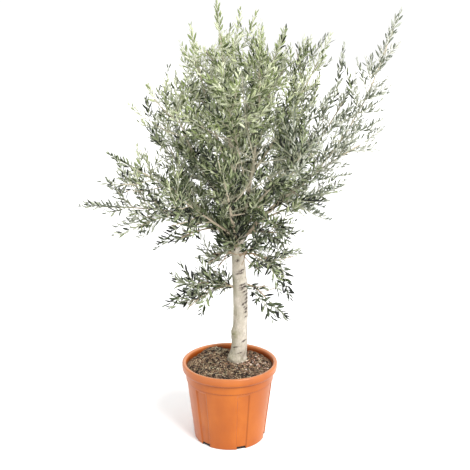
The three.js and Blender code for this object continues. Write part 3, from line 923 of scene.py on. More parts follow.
def addPair(tone, point, along, angle, turn, share, lift, random, facing=None):
    length = share * lerp(*leafPair["length"], smoothstep(point[2], *leafPair["lengthFrom"]))
    outward = np.array([point[0], point[1], 0.0]) / (math.hypot(point[0], point[1]) + 1)
    ahead, upward, out = leafPair["facing"]
    for side in (0, 180):
        angleNow = angle + swing(random, leafPair["angleSwing"])
        way = turnedFrom(along, angleNow, turn + side + swing(random, leafPair["turnSwing"]))
        way = unit(way + up * lift * leafPair["lift"])
        face = along * ahead + up * upward + outward * out if facing is None else facing
        face = unit(face - way * (face @ way))
        roll = math.radians(swing(random, leafPair["roll"]))
        face = face * math.cos(roll) + cross(way, face) * math.sin(roll)
        size = length * atLeast(random, *leafPair["shares"])
        shape = math.floor(len(leafShape["droops"]) * random())
        leafRows.append((tone, *point, *way, *face, size, shape, random() < leafPair["paleShare"]))


def sizeAlong(share):  # the leaves are smaller at the foot and at the tip of a shoot
    return 0.74 + 0.42 * math.sin(math.pi * min(share * 0.9 + 0.12, 0.97)) - 0.12 * share


def growShoot(root, way, length, radius, lift, random, sideShoots=0, isSide=False, bend=1, facing=None):
    tip = root + way * length
    if facing is None and (isOpen(tip) or isOpen(root + way * length * 0.6)):
        return None
    if hidesTrunk(root, tip):
        return None
    tone = lightAt(root if facing is None else tip, random)
    curl = turnedFrom(way, 90, 360 * random()) * (shoot["curl"] * random())
    steps = max(2, round(length / shoot["step"]))
    line = [root]
    for _ in range(steps):
        line.append(line[-1] + way * (length / steps))
        way = unit(way + up * shoot["lift"] * lift * bend + curl)
    line = np.array(line)
    shootPaths.append((line, np.linspace(radius, shoot["tipRadius"], len(line))))
    every = lerp(*leafPair["every"], smoothstep(root[2], *leafPair["everyFrom"]))
    count = max(2, round(length / every))
    turn = 360 * random()
    for i in range(count + 1):
        share = lerp(leafPair["first"][isSide], 1, i / count)
        point, along = pointOn(line, share)
        angle = lerp(*leafPair["angle"], share ** 1.5)
        size = sizeAlong(share) * (sideShoot["leaves"] if isSide else 1)
        addPair(tone, point, along, angle, turn + 90 * i, size, lift, random, facing)
    for i in range(sideShoots):
        point, along = pointOn(line, lerp(*sideShoot["from"], (i + random()) / sideShoots))
        angle = sideShoot["angle"] + swing(random, sideShoot["angleSwing"])
        heading = turnedFrom(along, angle, turn + 90 * i + 45)
        reach = sideShoot["length"] * atLeast(random, *sideShoot["shares"])
        growShoot(point, heading, reach, radius * sideShoot["radius"], lift, random, isSide=True)
    return line


def fillAlong(line, start, plan, fullness, lift, random):
    count = max(1, round(fullness * lengthOf(line) * (1 - start) / filler["every"]))
    first = 360 * random()
    for i in range(count):
        point, along = pointOn(line, lerp(start, shoot["lastPlace"], (i + random()) / count))
        length = filler["length"] * atLeast(random, *filler["shares"])
        angle = filler["angle"] + swing(random, filler["angleSwing"])
        for turn in (0, 120, 240):
            way = turnedFrom(along, angle, first + turn + i * rule["goldenAngle"])
            way = unit(way + up * rule["sprayLift"])
            if isFree([point + way * (length * 0.6), point + way * length], plan, *filler["room"]):
                growShoot(point, way, length * filler["used"], filler["radius"], lift, random)
                break


def leavesOnWood(line, start, fullness, lift, random):
    count = round(lengthOf(line) * (1 - start) / woodLeaf["every"])
    turn = 360 * random()
    angle, size = woodLeaf["angle"], woodLeaf["size"]
    for i in range(count):
        point, along = pointOn(line, lerp(start, shoot["lastPlace"], (i + 0.5) / count))
        if random() < woodLeaf["kept"] * fullness and not hidesTrunk(point, point):
            addPair(lightAt(point, random), point, along, angle, turn + 90 * i, size, lift, random)


def spursAlong(plan, lift, random):
    length = plan["share"] * plan["length"]
    start, startShare = spur["start"]
    start *= 1 if plan["parent"] == "trunk" else startShare
    count = round((length - start) / spur["every"])
    for i in range(count):
        point, along = pointOn(plan["bough"], (start + (length - start) * (i + random()) / count) / length)
        angle = spur["angle"] + swing(random, spur["angleSwing"])
        way = turnedFrom(along, angle, 360 * random() + i * rule["goldenAngle"])
        reach = spur["length"] * atLeast(random, *spur["shares"])
        growShoot(point, unit(way + up * spur["lift"]), reach, spur["radius"], lift, random)


def growCollar():  # short shoots all round the trunk's top
    random = randomStream(shoot["seed"] + 7)
    for i in range(collar["shoots"]):
        outward = direction(i * rule["goldenAngle"], 0)
        point = trunkMiddle(lerp(*collar["heights"], random())) + outward * (trunk["topRadius"] - 1)
        way = unit(outward + up * atLeast(random, *collar["climb"]))
        reach = spur["length"] * atLeast(random, *collar["shares"])
        growShoot(point, way, reach, spur["radius"], collar["lift"], random)


def growLeaders():  # each long shoot of the photo grows on from the nearest wood or shoot
    random = randomStream(shoot["seed"] + 11)
    roots = np.concatenate([*woodLines, *[line for line, _ in shootPaths]])
    for rows, lift, bend in zip((leaders, combs), leader["lift"], leader["bend"]):
        for x, y, tipX, tipY, depth in rows:
            root = roots[np.linalg.norm(roots - fromPhoto((x, y), depth), axis=1).argmin()]
            way = fromPhoto((tipX, tipY), depth) - root
            reach, radius = np.linalg.norm(way), leader["radius"]
            growShoot(root, unit(way), reach, radius, lift, random, bend=bend, facing=frontward)


def clearLeaves():  # takes off the leaves that would hide the pale twigs and the limb that carries them
    front = next(plan for plan in plans if plan["name"] == "front")
    limb = limbPoints(*front["whole"], np.linspace(*inView["limb"], 30))[0]
    spots = np.concatenate([*[line for line, _ in palePaths], limb])
    marks = np.array([photoPlace(spot) for spot in spots])
    kept = []
    for row in leafRows:
        root, way, size = np.array(row[1:4]), np.array(row[4:7]), row[10]
        hides = False
        for share in (0.2, 0.55, 0.9):
            point = root + way * (size * share)
            x, y = photoPlace(point)
            if inBox((x, y), inView["twigBox"]):
                near = np.hypot(marks[:, 0] - x, marks[:, 1] - y) < inView["twigRoom"]
                hides = hides or bool((spots[near, 1] > point[1] - inView["behind"]).any())
        if not hides:
            kept.append(row)
    leafRows[:] = kept


def evenly(line, count):  # the same line in even steps
    return np.array([pointOn(line, share)[0] for share in np.linspace(0, 1, count)])


frontward = np.array([0.0, -1.0, 0.4])
tubeSteps = {"twig": 7, "pale": 24}
twigPaths = []
palePaths = []
for spots, depth, first, last in paleTwigs:
    line = np.array([fromPhoto(spot, depth) for spot in spots])
    palePaths.append((evenly(line, tubeSteps["pale"]), np.linspace(first, last, tubeSteps["pale"])))
woodLines = [plan["bough"] for plan in bareLimbs] + [plan["stem"] for plan in plans] + [trunkLine[-4:]]


def growMass(plan):
    stem, index = plan["stem"], plan["index"]
    stemSpray, twigSpray = rule["firstSpray"]
    twigs = twigsUp(plan)
    kept, take = makeRoom(plan, [stem, *[twig["line"] for twig in twigs]])
    random = randomStream(rule["seed"] + rule["massStep"] * index + rule["stemSeed"])
    spraysAlong(stem, stemSpray, random, take)
    random = randomStream(shoot["seed"] + shoot["massStep"] * index)
    grownOn, grownTwigs = list(kept), []
    missing = thinned.get(plan["name"], 0)
    for twig in twigs:
        before = len(kept)
        spraysAlong(twig["line"], twigSpray, twig["random"], take)
        if random() < missing:
            continue
        grownOn += kept[before:]
        grownTwigs.append(twig["line"])
        radii = np.linspace(twig["radius"], wood["twigTip"], tubeSteps["twig"])
        twigPaths.append((evenly(twig["line"], tubeSteps["twig"]), radii))
    woodLines.extend(grownTwigs)
    fullness = leafiness.get(plan["name"], 1)
    level, more = shoot["liftRange"]
    lift = level + more * plan["climb"] / 90 if plan["share"] else shoot["lowLift"]
    for leaf in grownOn:
        length = leaf["length"] * shoot["sprayShare"]
        sideShoots = math.floor(sideShoot["count"] * fullness + random())
        growShoot(leaf["root"], leaf["way"], length, shoot["radius"], lift, random, sideShoots)
    fillAlong(stem, filler["from"][0], plan, fullness, lift, random)
    leavesOnWood(stem, woodLeaf["from"][0], fullness + 2 * missing, lift, random)
    if plan["share"]:
        spursAlong(plan, lift, random)
    for line in grownTwigs:
        fillAlong(line, filler["from"][1], plan, fullness, lift, random)
        leavesOnWood(line, woodLeaf["from"][1], fullness, lift, random)
    return len(kept)


# Long shoots climb into the spaces that the masses leave between them in the middle of the crown

voids = {
    "seed": 7411,
    "tries": 5200,
    "middle": (0, 0, 925),
    "reach": (320, 310, 450),
    "clear": 37,  # a spot with no shoot as near as this is still open
    "rootEvery": 12,
    "shortest": 60,
    "longest": 205,
    "past": 24,  # how far a shoot reaches past the middle of its space
    "leastClimb": 0.2,
    "radius": 1.5,
    "lift": 0.5,
    "sideShoots": 0.4,
    "most": 330,
}


def toNearest(spots, lines):
    stack = stackLines(lines)
    return np.concatenate([distances(part, stack).min(axis=1) for part in np.array_split(spots, 80)])


def openSpots(random):
    spots = []
    while len(spots) < voids["tries"]:
        spot = np.array([2 * random() - 1 for _ in range(3)])
        if spot @ spot < 1:
            spots.append(voids["middle"] + spot * voids["reach"])
    return np.array(spots)


def fillVoids():
    random = randomStream(voids["seed"])
    spots = openSpots(random)
    room = toNearest(spots, [line for line, _ in shootPaths])
    roots = []
    for line in woodLines:
        shares = np.arange(0.1, 1, voids["rootEvery"] / lengthOf(line))
        roots += [pointOn(line, share)[0] for share in shares]
    roots = np.array(roots)
    count = 0
    for index in np.argsort(-room):
        if room[index] < voids["clear"] or count >= voids["most"]:
            continue
        offsets = spots[index] - roots
        reaches = np.linalg.norm(offsets, axis=1)
        fits = (reaches > voids["shortest"]) & (reaches < voids["longest"])
        fits &= offsets[:, 2] > voids["leastClimb"] * reaches
        if not fits.any():
            continue
        nearest = np.where(fits, reaches, np.inf).argmin()
        way, length = offsets[nearest] / reaches[nearest], reaches[nearest] + voids["past"]
        sideShoots = math.floor(voids["sideShoots"] + random())
        line = growShoot(roots[nearest], way, length, voids["radius"], voids["lift"], random, sideShoots)
        if line is not None:
            room = np.minimum(room, toNearest(spots, [line]))
            count += 1
    return count


sprayCount = sum(growMass(plan) for plan in plans)
growCollar()
longCount = fillVoids()
growLeaders()
clearLeaves()
print("grown:", len(twigPaths), "twigs,", sprayCount, "sprays,", longCount, "long shoots")
print(len(shootPaths), "shoots in all,", len(leafRows), "leaves")


# Tubes along paths, for the limbs, twigs and shoots

def buildTubeTree():
    inputs = [("Geometry", "Geometry", None), ("Sides", "Int", 6), ("Surface", "Material", None)]
    tree, given, made = newGroup("tubesAlongPaths", "GeometryNodeTree", inputs, [("Geometry", "Geometry")])
    curve = addStep(tree, "GeometryNodeMeshToCurve", {"Mesh": given["Geometry"]})
    ring = addStep(tree, "GeometryNodeCurvePrimitiveCircle", {"Resolution": given["Sides"], "Radius": 1.0})
    inputs = {"Curve": curve, "Profile Curve": ring, "Scale": stored(tree, "thickness"), "Fill Caps": True}
    tube = addStep(tree, "GeometryNodeCurveToMesh", inputs)
    real = addStep(tree, "GeometryNodeRealizeInstances", {"Geometry": tube})
    last = addStep(tree, "GeometryNodeSetMaterial", {"Geometry": real, "Material": given["Surface"]})
    tree.links.new(last, made["Geometry"])
    return tree


def makeTubes(name, paths, sides, material):
    points = np.concatenate([line for line, _ in paths]) + foot
    radii = np.concatenate([thickness for _, thickness in paths]) * mm
    edges, first = [], 0
    for line, _ in paths:
        edges += [(first + i, first + i + 1) for i in range(len(line) - 1)]
        first += len(line)
    source = meshObject(name, points, edges)
    storeValues(source.data, "thickness", radii)
    return grown(source, tubeTree, {"Sides": sides, "Surface": material})


# Parts set on points: leaves, crumbs, straws and stones

def buildPartsTree():
    inputs = [
        ("Geometry", "Geometry", None),
        ("Parts", "Collection", None),
        ("Spread", "Float", 0.1),
        ("Seed", "Int", 5),
        ("Main", "Material", None),
        ("Second", "Material", None),
        ("Under", "Material", None),
    ]
    tree, given, made = newGroup("partsOnPoints", "GeometryNodeTree", inputs, [("Geometry", "Geometry")])
    settings = {"Collection": given["Parts"], "Separate Children": True, "Reset Children": True}
    parts = addStep(tree, "GeometryNodeCollectionInfo", settings)
    ways = {"Primary Axis": "way", "Secondary Axis": "face"}
    ways = {label: stored(tree, name, "FLOAT_VECTOR") for label, name in ways.items()}
    turned = addStep(tree, "FunctionNodeAxesToRotation", ways, primary_axis="X", secondary_axis="Z")
    least, most = (addMath(tree, way, 1.0, given["Spread"]) for way in ("SUBTRACT", "ADD"))
    limits = {2: least, 3: most, "Seed": given["Seed"]}
    wide = addNode(tree, "FunctionNodeRandomValue", limits, data_type="FLOAT").outputs[1]
    width = addStep(tree, "ShaderNodeCombineXYZ", {0: 1.0, 1: wide, 2: 1.0})
    shape = {0: width, "Scale": stored(tree, "size")}
    settings = {
        "Points": given["Geometry"],
        "Instance": parts,
        "Pick Instance": True,
        "Instance Index": stored(tree, "shape", "INT"),
        "Rotation": turned,
        "Scale": addStep(tree, "ShaderNodeVectorMath", shape, operation="SCALE"),
    }
    placed = addStep(tree, "GeometryNodeInstanceOnPoints", settings)
    real = addStep(tree, "GeometryNodeRealizeInstances", {"Geometry": placed})
    for label, attribute in (("Main", None), ("Second", "tint"), ("Under", "under")):
        choice = {"Geometry": real, "Material": given[label]}
        if attribute:
            choice["Selection"] = stored(tree, attribute, "BOOLEAN")
        real = addStep(tree, "GeometryNodeSetMaterial", choice)
    tree.links.new(real, made["Geometry"])
    return tree


tubeTree = buildTubeTree()
partsTree = buildPartsTree()


def partsCollection(name, parts):  # shapes that the tree above picks from, kept out of the scene itself
    holder = bpy.data.collections.new(name)
    for part in parts:
        bpy.context.scene.collection.objects.unlink(part)
        holder.objects.link(part)
    return holder


def makeParts(name, rows, parts, materials, seed, spread=0.1):  # rows as leafRows has them, after the tone
    rows = np.array(rows, float)
    source = meshObject(name, rows[:, :3] + foot)
    storeValues(source.data, "way", rows[:, 3:6], kind="FLOAT_VECTOR")
    storeValues(source.data, "face", rows[:, 6:9], kind="FLOAT_VECTOR")
    storeValues(source.data, "size", rows[:, 9] * mm)
    storeValues(source.data, "shape", rows[:, 10], kind="INT")
    storeValues(source.data, "tint", rows[:, 11] > 0.5, kind="BOOLEAN")
    main, second, under = (*materials, *materials[-1:] * 2)[:3]
    values = {"Parts": parts, "Spread": spread, "Seed": seed, "Main": main, "Second": second, "Under": under}
    return grown(source, partsTree, values)


# Leaves

def makeLeafShape(droop):  # a unit leaf along X that faces +Z, of 24 three-cornered faces
    half = leafShape["width"] / 2
    points = [(0, 0, 0)]
    for along, share in leafShape["sections"]:
        sag = -droop * along ** 2
        edge = sag + leafShape["fold"] * share
        top, bottom = sag + leafShape["thick"] / 2 * share, sag - leafShape["thick"] / 2 * share
        points += [(along, half * share, edge), (along, 0, top)]
        points += [(along, -half * share, edge), (along, 0, bottom)]
    points.append((1, 0, -droop))
    last = len(points) - 1
    faces, under = [], []
    for k in range(4):  # sides 0 and 1 are the upper face, 2 and 3 the underside
        a, b = k, (k + 1) % 4
        below = k > 1
        faces.append((0, 1 + b, 1 + a))
        under.append(below)
        for ring in range(len(leafShape["sections"]) - 1):
            low, high = 1 + 4 * ring, 5 + 4 * ring
            faces += [(low + a, low + b, high + b), (low + a, high + b, high + a)]
            under += [below, below]
        faces.append((last - 4 + a, last - 4 + b, last))
        under.append(below)
    leaf = meshObject("leafShape", points, faces=faces, scale=1)
    storeValues(leaf.data, "under", under, domain="FACE", kind="BOOLEAN")
    return leaf


leafColours = {  # upper face, a second upper colour for half of the leaves, and the underside
    "deep": (0x0b1104, 0x444f33, 0x9aa187),
    "sage": (0x242f14, 0x828d66, 0xb6baa6),
    "olive": (0x4a552f, 0xafb78b, 0xced2b9),
    "fresh": (0x87945f, 0xd4dab6, 0xe3e6d0),
    "silver": (0x636a59, 0xb2b6a6, 0xd9dacf),
}
leafFinish = {"roughness": 0.36, "underRoughness": 0.7, "specular": 0.35}
leafTones = {
    "shares": (0.27, 0.29, 0.27),  # of the leaves, for the first three tones
    "spread": 0.16,  # how far the widths differ
    "seed": 11,
}


def makeLeaves():
    shapes = partsCollection("leafShapes", [makeLeafShape(droop) for droop in leafShape["droops"]])
    rows = np.array(leafRows, float)
    silver = tones["silver"]
    marks = np.quantile(rows[rows[:, 0] < silver, 0], np.cumsum(leafTones["shares"]))
    marks = [-silver, *marks, silver, silver + 1]
    smooth = {"Specular_IOR_Level": leafFinish["specular"]}
    for index, (tone, (upper, second, under)) in enumerate(leafColours.items()):
        own = rows[(rows[:, 0] >= marks[index]) & (rows[:, 0] < marks[index + 1]), 1:]
        materials = [
            plainMaterial(tone + "Leaf", linear(upper), leafFinish["roughness"], **smooth),
            plainMaterial(tone + "LeafPale", linear(second), leafFinish["roughness"]),
            plainMaterial(tone + "LeafUnder", linear(under), leafFinish["underRoughness"]),
        ]
        seed, spread = leafTones["seed"] + index, leafTones["spread"]
        finishPiece(makeParts(tone + "Leaves", own, shapes, materials, seed, spread), massNames)


# Bark

bark = {
    "voxel": 1.9,
    "around": 40,
    "ringEvery": 6,
    "stubLength": 95,  # of a bough, as far as it is one skin with the trunk
    "shortStub": 45,
    "stubSides": 16,
    "stubShares": (1.08, 0.86),
    "boughStart": 65,
    "shortStart": 28,
    "boughSides": 12,
    "boughEvery": 11,
    "soften": (0.6, 6),
    "lumps": (1.3, 34),  # height and size
    "fissures": (0.9, 11),
    "grain": (0.35, 4.5),
    "youngGrain": (0.45, 9),
    "collars": (27, 7),  # where a limb of the trunk starts to narrow, and a limb of another limb
    "collarShares": (0.45, 1.4),  # of the limb's radius: how wide it swells, and over what length
    "bumps": [  # height, angle, spread and rise
        (132, -165, 17, 8), (106, -172, 13, 5), (60, -140, 20, 2.5), (20, -160, 17, 9),
        (10, -125, 12, 5), (14, -88, 11, 4), (8, -8, 26, -10), (12, -40, 18, -5), (26, 100, 18, 4),
        (470, -100, 16, 2), (409, -66, 15, 2.2), (330, -50, 12, 1.8),
    ],
    "moss": (172, 0.6),  # the side that greens, in degrees round the trunk, and how strongly
    "mossColour": 0x7b7a56,
    "mossSpots": [(124, -152, 30, 0.9), (70, -140, 24, 0.5), (14, -130, 26, 0.55), (470, -120, 26, 0.5)],
    "scars": [  # height, angle, half width and half height, depth
        (409, -68, 15, 4.5, 3.6), (398, -82, 17, 3.5, 1.2), (348, -70, 14, 4, 2.2),
        (338, -62, 17, 5, 2.2), (329, -76, 12, 4, 1.8), (318, -46, 16, 4.5, 2.8),
        (302, -36, 12, 5, 2.8), (287, -30, 12, 7, 3.2), (270, -38, 14, 5, 3.0), (262, -72, 5, 5, 2.2),
        (248, -62, 5, 4, 1.8), (240, -40, 9, 5, 2.0), (226, -48, 8, 5, 2.0), (206, -40, 8, 4, 1.8),
        (96, -52, 10, 4, 4.0), (452, -96, 8, 6, 2.0), (70, -120, 12, 3, 1.4), (44, -84, 10, 3, 1.4),
        (225, 70, 8, 5, 2.4), (372, 120, 9, 4, 2.4), (150, 160, 6, 5, 2.0),
    ],
}


def trunkRadius(height, angle):
    share = min(max(height / trunk["height"], 0), 1)
    flare = trunk["flare"] * math.exp(-max(height, 0) / trunk["flareHeight"])
    between, more = trunk["rootShares"]
    lobes = between + more * max(0, math.cos(trunk["roots"] * (angle - trunk["firstRoot"]) / 2)) ** 2
    body = lerp(trunk["radius"], trunk["topRadius"], smoothstep(share, trunk["narrowsFrom"], 1))
    return body * (1 + trunk["ripple"] * math.sin(3 * angle + 9 * share)) + flare * lobes


def ringTube(rings):  # points and faces of one closed tube from rings of equal length
    sides = len(rings[0])
    points = np.concatenate(rings)
    start, end = tuple(range(sides))[::-1], tuple(range(len(points) - sides, len(points)))
    return points, [start, *bandFaces(len(rings), sides), end]


def ringTurns(sides):
    return np.arange(sides) / sides * wholeTurn


def tubeRings(line, radii, sides):
    rings, across = [], None
    for i, centre in enumerate(line):
        along = unit(line[min(i + 1, len(line) - 1)] - line[max(i - 1, 0)])
        guess = clearOf(along) if across is None else across
        across = unit(guess - along * (guess @ along))
        other = cross(along, across)
        turns = ringTurns(sides)
        rings.append(centre + radii[i] * (np.cos(turns)[:, None] * across + np.sin(turns)[:, None] * other))
    return rings


def limbRadius(plan, run):  # along the whole limb, with a collar where it leaves its parent
    boughEnd = plan["share"] * plan["length"]
    stemEnd = plan["stemEnd"] * plan["length"]
    if run < boughEnd:
        radius = lerp(plan["base"], plan["tipRadius"], run / boughEnd)
    else:
        radius = lerp(plan["tipRadius"], wood["stemTip"], (run - boughEnd) / (stemEnd - boughEnd))
    onTrunk, onLimb = bark["collars"]
    past = max(run - (onTrunk if plan["parent"] == "trunk" else onLimb), 0)
    swell, over = bark["collarShares"]
    return radius + plan["base"] * swell * math.exp(-past / (over * plan["base"]))


def limbLine(plan, start, end, every):
    count = max(2, round((end - start) / every))
    runs = np.linspace(start, end, count + 1)
    points = limbPoints(*plan["whole"], runs / plan["length"])[0]
    return points, np.array([limbRadius(plan, run) for run in runs])


def reliefAt(point):  # how far the bark stands out, in mm, and how far it is cracked and mossy, from 0 to 1
    middle = trunkMiddle(min(max(point[2], 0), trunk["height"]))
    offset = point - middle
    angle = math.degrees(math.atan2(offset[1], offset[0]))
    reach = max(math.hypot(offset[0], offset[1]), 5)

    def across(turn):  # how far the point lies round the trunk from an angle, in mm
        return math.radians((angle - turn + 180) % 360 - 180) * reach

    (lump, lumpSize), (fissure, fissureSize) = bark["lumps"], bark["fissures"]
    out = lump * fractal(point, lumpSize, 2, 2.2)
    ridge = 1 - abs(fractal(point + 40, fissureSize, 2, 4.5)) * 2.2
    broken = smoothstep(fractal(point + 90, 60, 2, 1.5), 0.0, 0.5)
    crack = 0.8 * float(smoothstep(ridge, 0.8, 1.0)) * float(broken)
    out += bark["grain"][0] * fractal(point, bark["grain"][1], 3, 1.8) - fissure * crack
    facing = 0.5 + 0.5 * math.cos(math.radians(angle - bark["moss"][0]))
    moss = bark["moss"][1] * facing ** 1.5 * float(smoothstep(fractal(point + 7, 38, 3), -0.45, 0.4))
    low = 0.6 * math.exp(-point[2] / 60) * float(smoothstep(fractal(point - 30, 14, 2), -0.1, 0.5))
    moss = max(moss, low)
    for height, turn, size, strength in bark["mossSpots"]:
        far = math.hypot(point[2] - height, across(turn))
        moss = max(moss, strength * math.exp(-(far / size) ** 2) * (0.8 + 0.6 * fractal(point + 3, 12, 2)))
    for height, turn, size, rise in bark["bumps"]:
        far = math.hypot(point[2] - height, across(turn))
        out += rise * math.exp(-(far / size) ** 2)
    for height, turn, wide, tall, depth in bark["scars"]:
        aside = across(turn)
        far = math.hypot(aside / wide, (point[2] - height - 0.25 * aside) / tall)
        dent = math.exp(-far ** 2) - 0.35 * math.exp(-((far - 1.9) / 0.6) ** 2)
        out -= depth * dent
        worn = 0.75 + 0.9 * fractal(point * (1, 1, 1.6) + height, 7, 2)
        crack = max(crack, min(1, max(0, 1.6 * worn * math.exp(-far ** 2))))
    return out, crack, moss


def trunkRings():  # from a little under the soil to the flat dome at the fork
    heights = [-4, *np.arange(0, trunk["height"], bark["ringEvery"]), trunk["height"]]
    turns = ringTurns(bark["around"])
    rings = []
    for height in heights:
        centre = trunkMiddle(max(height, 0)) + up * min(height, 0)
        radii = np.array([trunkRadius(height, turn) for turn in turns])
        rings.append(centre + np.stack([radii * np.cos(turns), radii * np.sin(turns), turns * 0], axis=1))
    top, edge = rings[-1].mean(axis=0), rings[-1]
    for share, lift in ((0.8, 0.6), (0.45, 1.0)):
        rings.append(top + (edge - top) * share + up * trunk["dome"] * lift)
    return rings


def makeTrunk(material):  # one skin over the trunk and the feet of its boughs, with the bark's relief
    solids = [ringTube(trunkRings())]
    for plan in plans:
        if plan["parent"] == "trunk":
            reach = bark["stubLength"] if plan["share"] else bark["shortStub"]
            line, radii = limbLine(plan, 0, reach, bark["ringEvery"])
            radii = radii * np.linspace(*bark["stubShares"], len(radii))
            solids.append(ringTube(tubeRings(line, radii, bark["stubSides"])))
    points, faces = [], []
    for solidPoints, solidFaces in solids:
        faces += [tuple(i + len(points) for i in face) for face in solidFaces]
        points += list(solidPoints)
    piece = meshObject("trunkBark", np.array(points) + foot, faces=faces)
    remesh = piece.modifiers.new("skin", "REMESH")
    remesh.mode = "VOXEL"
    remesh.voxel_size = bark["voxel"] * mm
    soften = piece.modifiers.new("soften", "SMOOTH")
    soften.factor, soften.iterations = bark["soften"]
    piece = settled(piece)
    mesh = piece.data
    places, normals = vertexTable(mesh.vertices, "co"), vertexTable(mesh.vertex_normals, "vector")
    out, cracks, moss = np.array([reliefAt(point) for point in places / mm - foot]).T
    out = out * np.where(normals[:, 2] < -0.7, 0, 1)  # the underside stays flat
    pushOut(mesh, places, normals, out * mm)
    storeValues(mesh, "crack", cracks)
    storeValues(mesh, "moss", moss)
    finishPiece(piece, ["trunk"], material)


def makeBoughs(material):
    paths = []
    for plan in plans:
        start = 0
        if plan["parent"] == "trunk":
            start = bark["boughStart"] if plan["share"] else bark["shortStart"]
        paths.append(limbLine(plan, start, plan["stemEnd"] * plan["length"], bark["boughEvery"]))
    piece = makeTubes("boughBark", paths, bark["boughSides"], material)
    mesh = piece.data
    places, normals = vertexTable(mesh.vertices, "co"), vertexTable(mesh.vertex_normals, "vector")
    high, size = bark["youngGrain"]
    rise = np.array([high * fractal(point, size, 2, 1.6) for point in places / mm])
    pushOut(mesh, places, normals, rise * mm)
    finishPiece(piece, ["bough_" + plan["name"] for plan in bareLimbs], material)


barks = {  # three colours of the patches, one of the cracks or upper parts, roughness and size in metres
    "oldBark": ((0xada395, 0xc1b8a9, 0xcfc7bb), 0x3c3028, 0.8, 0.03),
    "youngBark": ((0x84705a, 0x9f8a72, 0xb5a48e), 0xcfc8b2, 0.8, 0.016),
    "shootBark": ((0x8f9172, 0xa3a487, 0xb4b498), 0xbcbca0, 0.7, 0.01),
    "paleBark": ((0xc9c1a6, 0xd7d0b8, 0xe3ddc9), 0xe0dac6, 0.75, 0.01),
}
barkLook = {
    "stretch": 2.6,
    "specks": (0.84, 1.1),
    "paleHeights": (0.82, 1.1),  # metres
    "paleShare": 0.6,
    "roughnessSwing": 0.08,
    "bump": (0.5, 0.0012),
}


def barkMaterial(name):  # the old bark has moss and cracks, and the others grow paler upwards
    colours, lastColour, roughness, size = barks[name]
    material, tree, shader = newMaterial(name)
    patches, grain = addGrain(tree, size, barkLook["stretch"])
    base = addRamp(tree, patches, list(zip((0.32, 0.5, 0.68), colours)))
    specks = addRange(tree, grain, 0.35, 0.7, barkLook["specks"])
    colour = addMix(tree, 1.0, base, specks, "MULTIPLY")
    if name == "oldBark":
        colour = addMix(tree, addAttribute(tree, "moss"), colour, linear(bark["mossColour"]))
        colour = addMix(tree, addAttribute(tree, "crack"), colour, linear(lastColour))
    else:
        place = addNode(tree, "ShaderNodeTexCoord").outputs["Object"]
        height = addNode(tree, "ShaderNodeSeparateXYZ", {0: place}).outputs["Z"]
        paler = addRange(tree, height, *barkLook["paleHeights"], (0.0, barkLook["paleShare"]))
        colour = addMix(tree, paler, colour, linear(lastColour))
    tree.links.new(colour, shader["Base Color"])
    around = barkLook["roughnessSwing"]
    sheen = addRange(tree, patches, 0.3, 0.7, (roughness - around, roughness + around))
    tree.links.new(sheen, shader["Roughness"])
    addBump(tree, shader, grain, *barkLook["bump"])
    return material


# Pot

pot = {
    "height": 336,
    "rimRadius": 200,
    "rimFoot": 300,
    "step": 262,
    "collarRadius": 184,
    "footRadius": 150,
    "wall": 4,
    "lipWidth": 13.5,
    "flutes": 6,
    "fluteSpan": 18,
    "fluteSide": 0.085,
    "fluteDepth": 5,
    "fluteFoot": (4.5, 12),  # from plain to full depth
    "fluteTop": (249, 257),
    "firstFlute": -71,
    "drainWidth": 38,
    "drainHeight": 12,
    "drainDepth": 16,
    "hollow": 8,  # the underside stands this far up inside the foot
    "footRing": 30,
    "edgeShade": 1.3,  # how strong the painted shade along the flutes' edges is
    "roundSteps": 5,
}
plastic = {
    "colours": (0x9b4c07, 0xa45309, 0xaf5d10),
    # painted shade, with a little dust, in the creases, undercuts and along the flutes' edges
    "edges": 0x752f08,
    # near-black painted shade in the hollows under the pot; on the inner wall painted shade with soil dirt
    "inside": 0x080301,
    # painted shade inside the drain notches
    "drains": 0x1c0b04,
    # painted highlight along the top of the rim
    "lipHighlight": 0xdea078,
    "lipHighlightShare": 0.72,
    "specular": 0.4,
    "roughness": (0.28, 0.36),
}


def bodyRadius(z):
    return lerp(pot["footRadius"], pot["collarRadius"] - 3, z / pot["step"])


def rounded(corners):  # rows of radius, height, share of the flutes' depth, painted shade (a painted highlight under 0) and rounding of the corner
    points = np.array([corner[:4] for corner in corners], float)
    made = []
    for i, (point, corner) in enumerate(zip(points, corners)):
        if corner[4] == 0 or i in (0, len(corners) - 1):
            made.append(point)
            continue
        before, after = points[i - 1] - point, points[i + 1] - point
        reaches = [np.linalg.norm(v[:2]) for v in (before, after)]
        cut = min(corner[4], reaches[0] * 0.49, reaches[1] * 0.49)
        first, last = point + before * (cut / reaches[0]), point + after * (cut / reaches[1])
        made += [bent(first, point, last, t) for t in np.linspace(0, 1, pot["roundSteps"] + 1)]
    return np.array(made)


def fluteAngles():  # angles round the pot with the depth of the flute at each, close together on its sides
    period, half = 360 / pot["flutes"], pot["fluteSpan"] / 2
    bed = half - pot["fluteSpan"] * pot["fluteSide"]
    offsets = [*np.linspace(-half - 0.6, -bed + 0.6, 9), *np.linspace(-bed + 1.6, bed - 1.6, 7)]
    offsets += [*np.linspace(bed - 0.6, half + 0.6, 9), *np.linspace(half + 2.2, period - half - 2.2, 15)]
    found = []
    for flute in range(pot["flutes"]):
        for offset in offsets:
            mark = float(smoothstep(abs(offset), half + 0.3, bed - 0.3)) if offset < half + 0.6 else 0
            found.append((math.radians(pot["firstFlute"] + flute * period + offset), mark))
    return found


